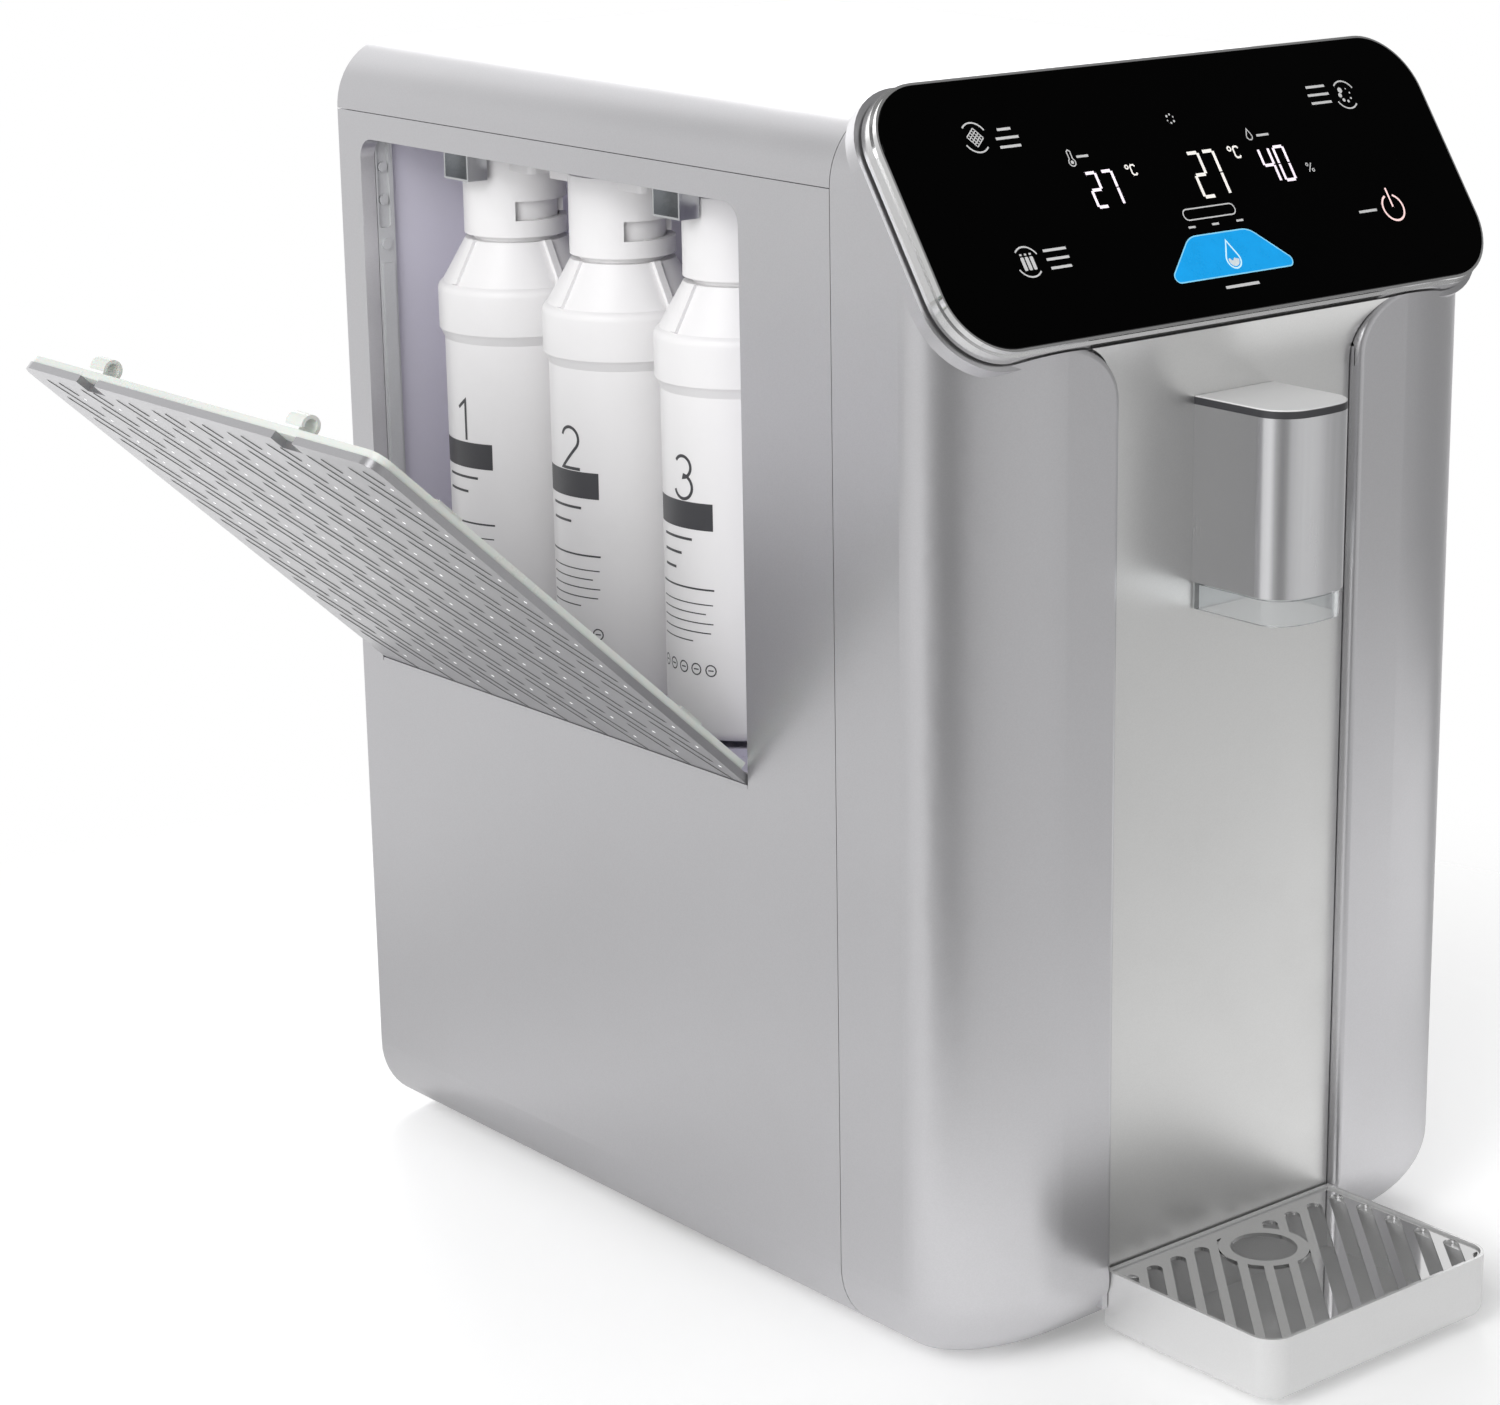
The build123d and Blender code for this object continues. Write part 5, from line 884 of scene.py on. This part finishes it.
def repeat_tree():
    """A node tree that puts a part on each point of a grid that starts at the origin."""
    tree = bpy.data.node_groups.new("repeat_on_grid", "GeometryNodeTree")
    sockets = {label: tree.interface.new_socket(label, in_out="INPUT", socket_type=kind).identifier
               for label, kind in REPEAT_INPUTS}
    tree.interface.new_socket("Mesh", in_out="OUTPUT", socket_type="NodeSocketGeometry")
    given = tree.nodes.new("NodeGroupInput").outputs

    def span(count, step):
        gaps = math_node(tree, "SUBTRACT", given[count], 1.0)
        return math_node(tree, "MULTIPLY", gaps, given[step])

    def position():
        return add_node(tree, "GeometryNodeInputPosition").outputs[0]

    # the grid is made round its middle, and moved so that its corner is the first point
    width, tall = span("Columns", "Step X"), span("Rows", "Step Y")
    grid = add_node(tree, "GeometryNodeMeshGrid", {
        "Size X": width, "Size Y": tall,
        "Vertices X": given["Columns"], "Vertices Y": given["Rows"]})
    corner = add_node(tree, "ShaderNodeCombineXYZ", {0: math_node(tree, "MULTIPLY", width, 0.5),
                                                     1: math_node(tree, "MULTIPLY", tall, 0.5)})
    shift = add_node(tree, "ShaderNodeVectorMath", {0: corner.outputs[0], 1: given["First"]})
    spot = add_node(tree, "ShaderNodeVectorMath", {0: position(), 1: shift.outputs[0]})
    # points beyond the limit are pulled back to it
    split = add_node(tree, "ShaderNodeSeparateXYZ", {0: spot.outputs[0]}).outputs
    held = add_node(tree, "ShaderNodeCombineXYZ", {
        0: split[0], 1: math_node(tree, "MINIMUM", split[1], given["Limit Y"])})
    placed = add_node(tree, "GeometryNodeSetPosition", {"Geometry": grid.outputs["Mesh"],
                                                        "Position": held.outputs[0]})
    # a part longer than the room before it is shortened
    here = add_node(tree, "ShaderNodeSeparateXYZ", {0: position()}).outputs
    room = math_node(tree, "DIVIDE", here[1], given["Full Length Y"])
    shortened = math_node(tree, "MINIMUM", room, 1.0)
    size = add_node(tree, "ShaderNodeCombineXYZ", {0: shortened, 1: 1.0, 2: 1.0})
    turned = add_node(tree, "ShaderNodeCombineXYZ", {2: given["Turn"]})
    source = add_node(tree, "GeometryNodeObjectInfo", {"As Instance": True,
                                                       "Object": given["Part"]})
    copies = add_node(tree, "GeometryNodeInstanceOnPoints", {
        "Points": placed.outputs[0], "Instance": source.outputs["Geometry"],
        "Rotation": turned.outputs[0], "Scale": size.outputs[0]})
    real = add_node(tree, "GeometryNodeRealizeInstances", {0: copies.outputs[0]})
    coloured = add_node(tree, "GeometryNodeSetMaterial", {"Geometry": real.outputs[0],
                                                          "Material": given["Material"]})
    add_node(tree, "NodeGroupOutput", {0: coloured.outputs[0]})
    return tree, sockets


REPEAT, REPEAT_SOCKETS = repeat_tree()
print("repeating tree has", len(REPEAT.nodes), "nodes")

# %% Run the tree
ONE_PART = {"First": (0.0, 0.0, 0.0), "Limit Y": 1e6, "Full Length Y": 1e-6, "Turn": 0.0}


def repeated(name, part, matrix, body, material, values):
    """Run the tree on a part drawn in millimetres and lay the result in place."""
    pattern = add_object(name + "_part", new_mesh(name + "_part", part))
    host = add_object(name + "_host", bpy.data.meshes.new(name + "_host"))
    modifier = host.modifiers.new("repeat", "NODES")
    modifier.node_group = REPEAT
    for label, value in {**ONE_PART, **values, "Part": pattern, "Material": material}.items():
        modifier[REPEAT_SOCKETS[label]] = value
    graph = bpy.context.evaluated_depsgraph_get()
    made = bpy.data.meshes.new_from_object(host.evaluated_get(graph))
    made.name = name
    made.transform(matrix)
    if matrix.determinant() < 0:
        made.flip_normals()
    for helper in (pattern, host):
        bpy.data.objects.remove(helper)
    new_piece(name, made, body)
    print(name, len(made.polygons), "faces")


# %% Lay a sheet on the open door
DOOR_LEAN, DOOR_LENGTH, DOOR_REAR = radians(47.6), 209.0, 352.0
HINGE_AXIS, SKIN = Vector((-132.7, 0.0, 206.6)), 2.2
door_down = Vector((sin(DOOR_LEAN), 0, -cos(DOOR_LEAN)))
door_out = Vector((-cos(DOOR_LEAN), 0, -sin(DOOR_LEAN)))
door_corner = HINGE_AXIS - door_down * DOOR_LENGTH + door_out * SKIN + Vector((0, DOOR_REAR, 0))
ON_DOOR = axes_at(at(*door_corner), (0, -1, 0), door_down, door_out, MM)
HOLES = {"Columns": 9, "Rows": 14, "Step X": 25.5, "Step Y": 14.0}
FIRST_HOLE = Vector((27.0, 15.6, 0.0))
print("door's upper rear corner at", [round(v, 2) for v in door_corner])

# %% Ribs on the door, dark grey as painted groove shade
RIB_RUN, RIB_SIDE, RIB_HIGH, RIB_ROOT = Vector((-16.0, -24.0)), 0.55, 0.25, -0.02
RIB_EDGE, RIB_LIMIT, RIB_TO_HOLE, RIB_SHIFT = 6.0, 202.0, 2.0, -1.3
FOOT_TAPER, CREST_TAPER = 1.2, 1.6
rib = bmesh.new()
length = RIB_RUN.length
foot = [rib.verts.new((x, y, RIB_ROOT)) for x, y in (
    (0, 0), (FOOT_TAPER, RIB_SIDE), (length - FOOT_TAPER, RIB_SIDE),
    (length, 0), (length - FOOT_TAPER, -RIB_SIDE), (FOOT_TAPER, -RIB_SIDE))]
crest = [rib.verts.new((x, 0, RIB_HIGH)) for x in (CREST_TAPER, length - CREST_TAPER)]
for face in ((foot[0], crest[0], foot[1]), (foot[1], crest[0], crest[1], foot[2]),
             (foot[2], crest[1], foot[3]), (foot[3], crest[1], foot[4]),
             (foot[4], crest[1], crest[0], foot[5]), (foot[5], crest[0], foot[0])):
    rib.faces.new(face[::-1])
# the ribs' dark grey is painted shade, standing for the shade inside the door's grooves
rib_painted_groove_shade = finish("rib_painted_groove_shade", flake, (0.12, 0.9), (0.35, 0.45), Metallic=0.5)
repeated("door_ribs", rib, ON_DOOR @ Matrix.Translation((RIB_SHIFT, RIB_EDGE, 0)),
         "door", rib_painted_groove_shade,
         {**HOLES, "Rows": HOLES["Rows"] + 1, "Limit Y": RIB_LIMIT, "Full Length Y": -RIB_RUN.y,
          "First": FIRST_HOLE - Vector((0, RIB_TO_HOLE + RIB_EDGE, 0)),
          "Turn": atan2(RIB_RUN.y, RIB_RUN.x)})

# %% Holes in the door, with painted light
HOLE_R, HOLE_SUNK = 0.84, -0.12
dot = bmesh.new()
bmesh.ops.create_circle(dot, cap_ends=True, segments=12, radius=HOLE_R)
# glowing discs are painted light, standing for light that shines through the holes
repeated("door_lit_holes", dot, ON_DOOR @ Matrix.Translation((0, 0, HOLE_SUNK)), "door",
         glow("hole_painted_light", (1.0, 1.0, 1.0), 0.8, 0.03), {**HOLES, "First": FIRST_HOLE})

# %% Screws of the rear wall
HEAD_FOOT_R, HEAD_TOP_R, HEAD_HIGH, HEAD_MIDDLE, CROSS_AT = 3.6, 2.6, 1.1, 0.5, 1.06
screw = bmesh.new()
bmesh.ops.create_cone(screw, cap_ends=True, segments=20, radius1=HEAD_FOOT_R, radius2=HEAD_TOP_R,
                      depth=HEAD_HIGH)
bmesh.ops.translate(screw, vec=(0, 0, HEAD_MIDDLE), verts=screw.verts)
for across, along in ((4.0, 0.7), (0.7, 4.0)):
    bar = bmesh.ops.create_cube(screw, size=1.0)["verts"]
    bmesh.ops.scale(screw, vec=(across, along, 0.1), verts=bar)
    bmesh.ops.translate(screw, vec=(0, 0, CROSS_AT), verts=bar)
rear_face_y = (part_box("rear_panel")[1].y - DATUM.y) / MM
on_rear = axes_at(at(122, rear_face_y, 26), (-1, 0, 0), (0, 0, 1), (0, 1, 0), MM)
print("rear wall's face at", round(rear_face_y, 2))
repeated("rear_screws", screw, on_rear, "cabinet", finishes["steel"],
         {"Columns": 2, "Rows": 3, "Step X": 244.0, "Step Y": 198.0})

# %% [markdown]
# ## Two small closures
# Below the hinge barrel the cabinet's side would show a dark slit, and beside
# the top of the centre panel one could look into the hollow pillars. Thin
# plates close both, as folded edges of the sheet do on the real machine.

# %% Lay the sill and the closers
SILL = (((-134.95, 114.8, 203.7), (-134.6, 352.7, 205.25)),)
CLOSERS = (((-60.5, 3.0, 339.0), (-60.1, 13.0, 357.0)), ((60.1, 3.0, 339.0), (60.5, 13.0, 357.0)))
for name, blocks in (("door_sill", SILL), ("pillar_closers", CLOSERS)):
    plates = bmesh.new()
    for lo, hi in blocks:
        for vertex in bmesh.ops.create_cube(plates, size=1.0)["verts"]:
            vertex.co = at(*[a + (b - a) * (c + 0.5) for a, b, c in zip(lo, hi, vertex.co)])
    new_piece(name, new_mesh(name, plates), "cabinet", finishes["cabinet_silver"])
    print(name, "has", len(blocks), "plates")
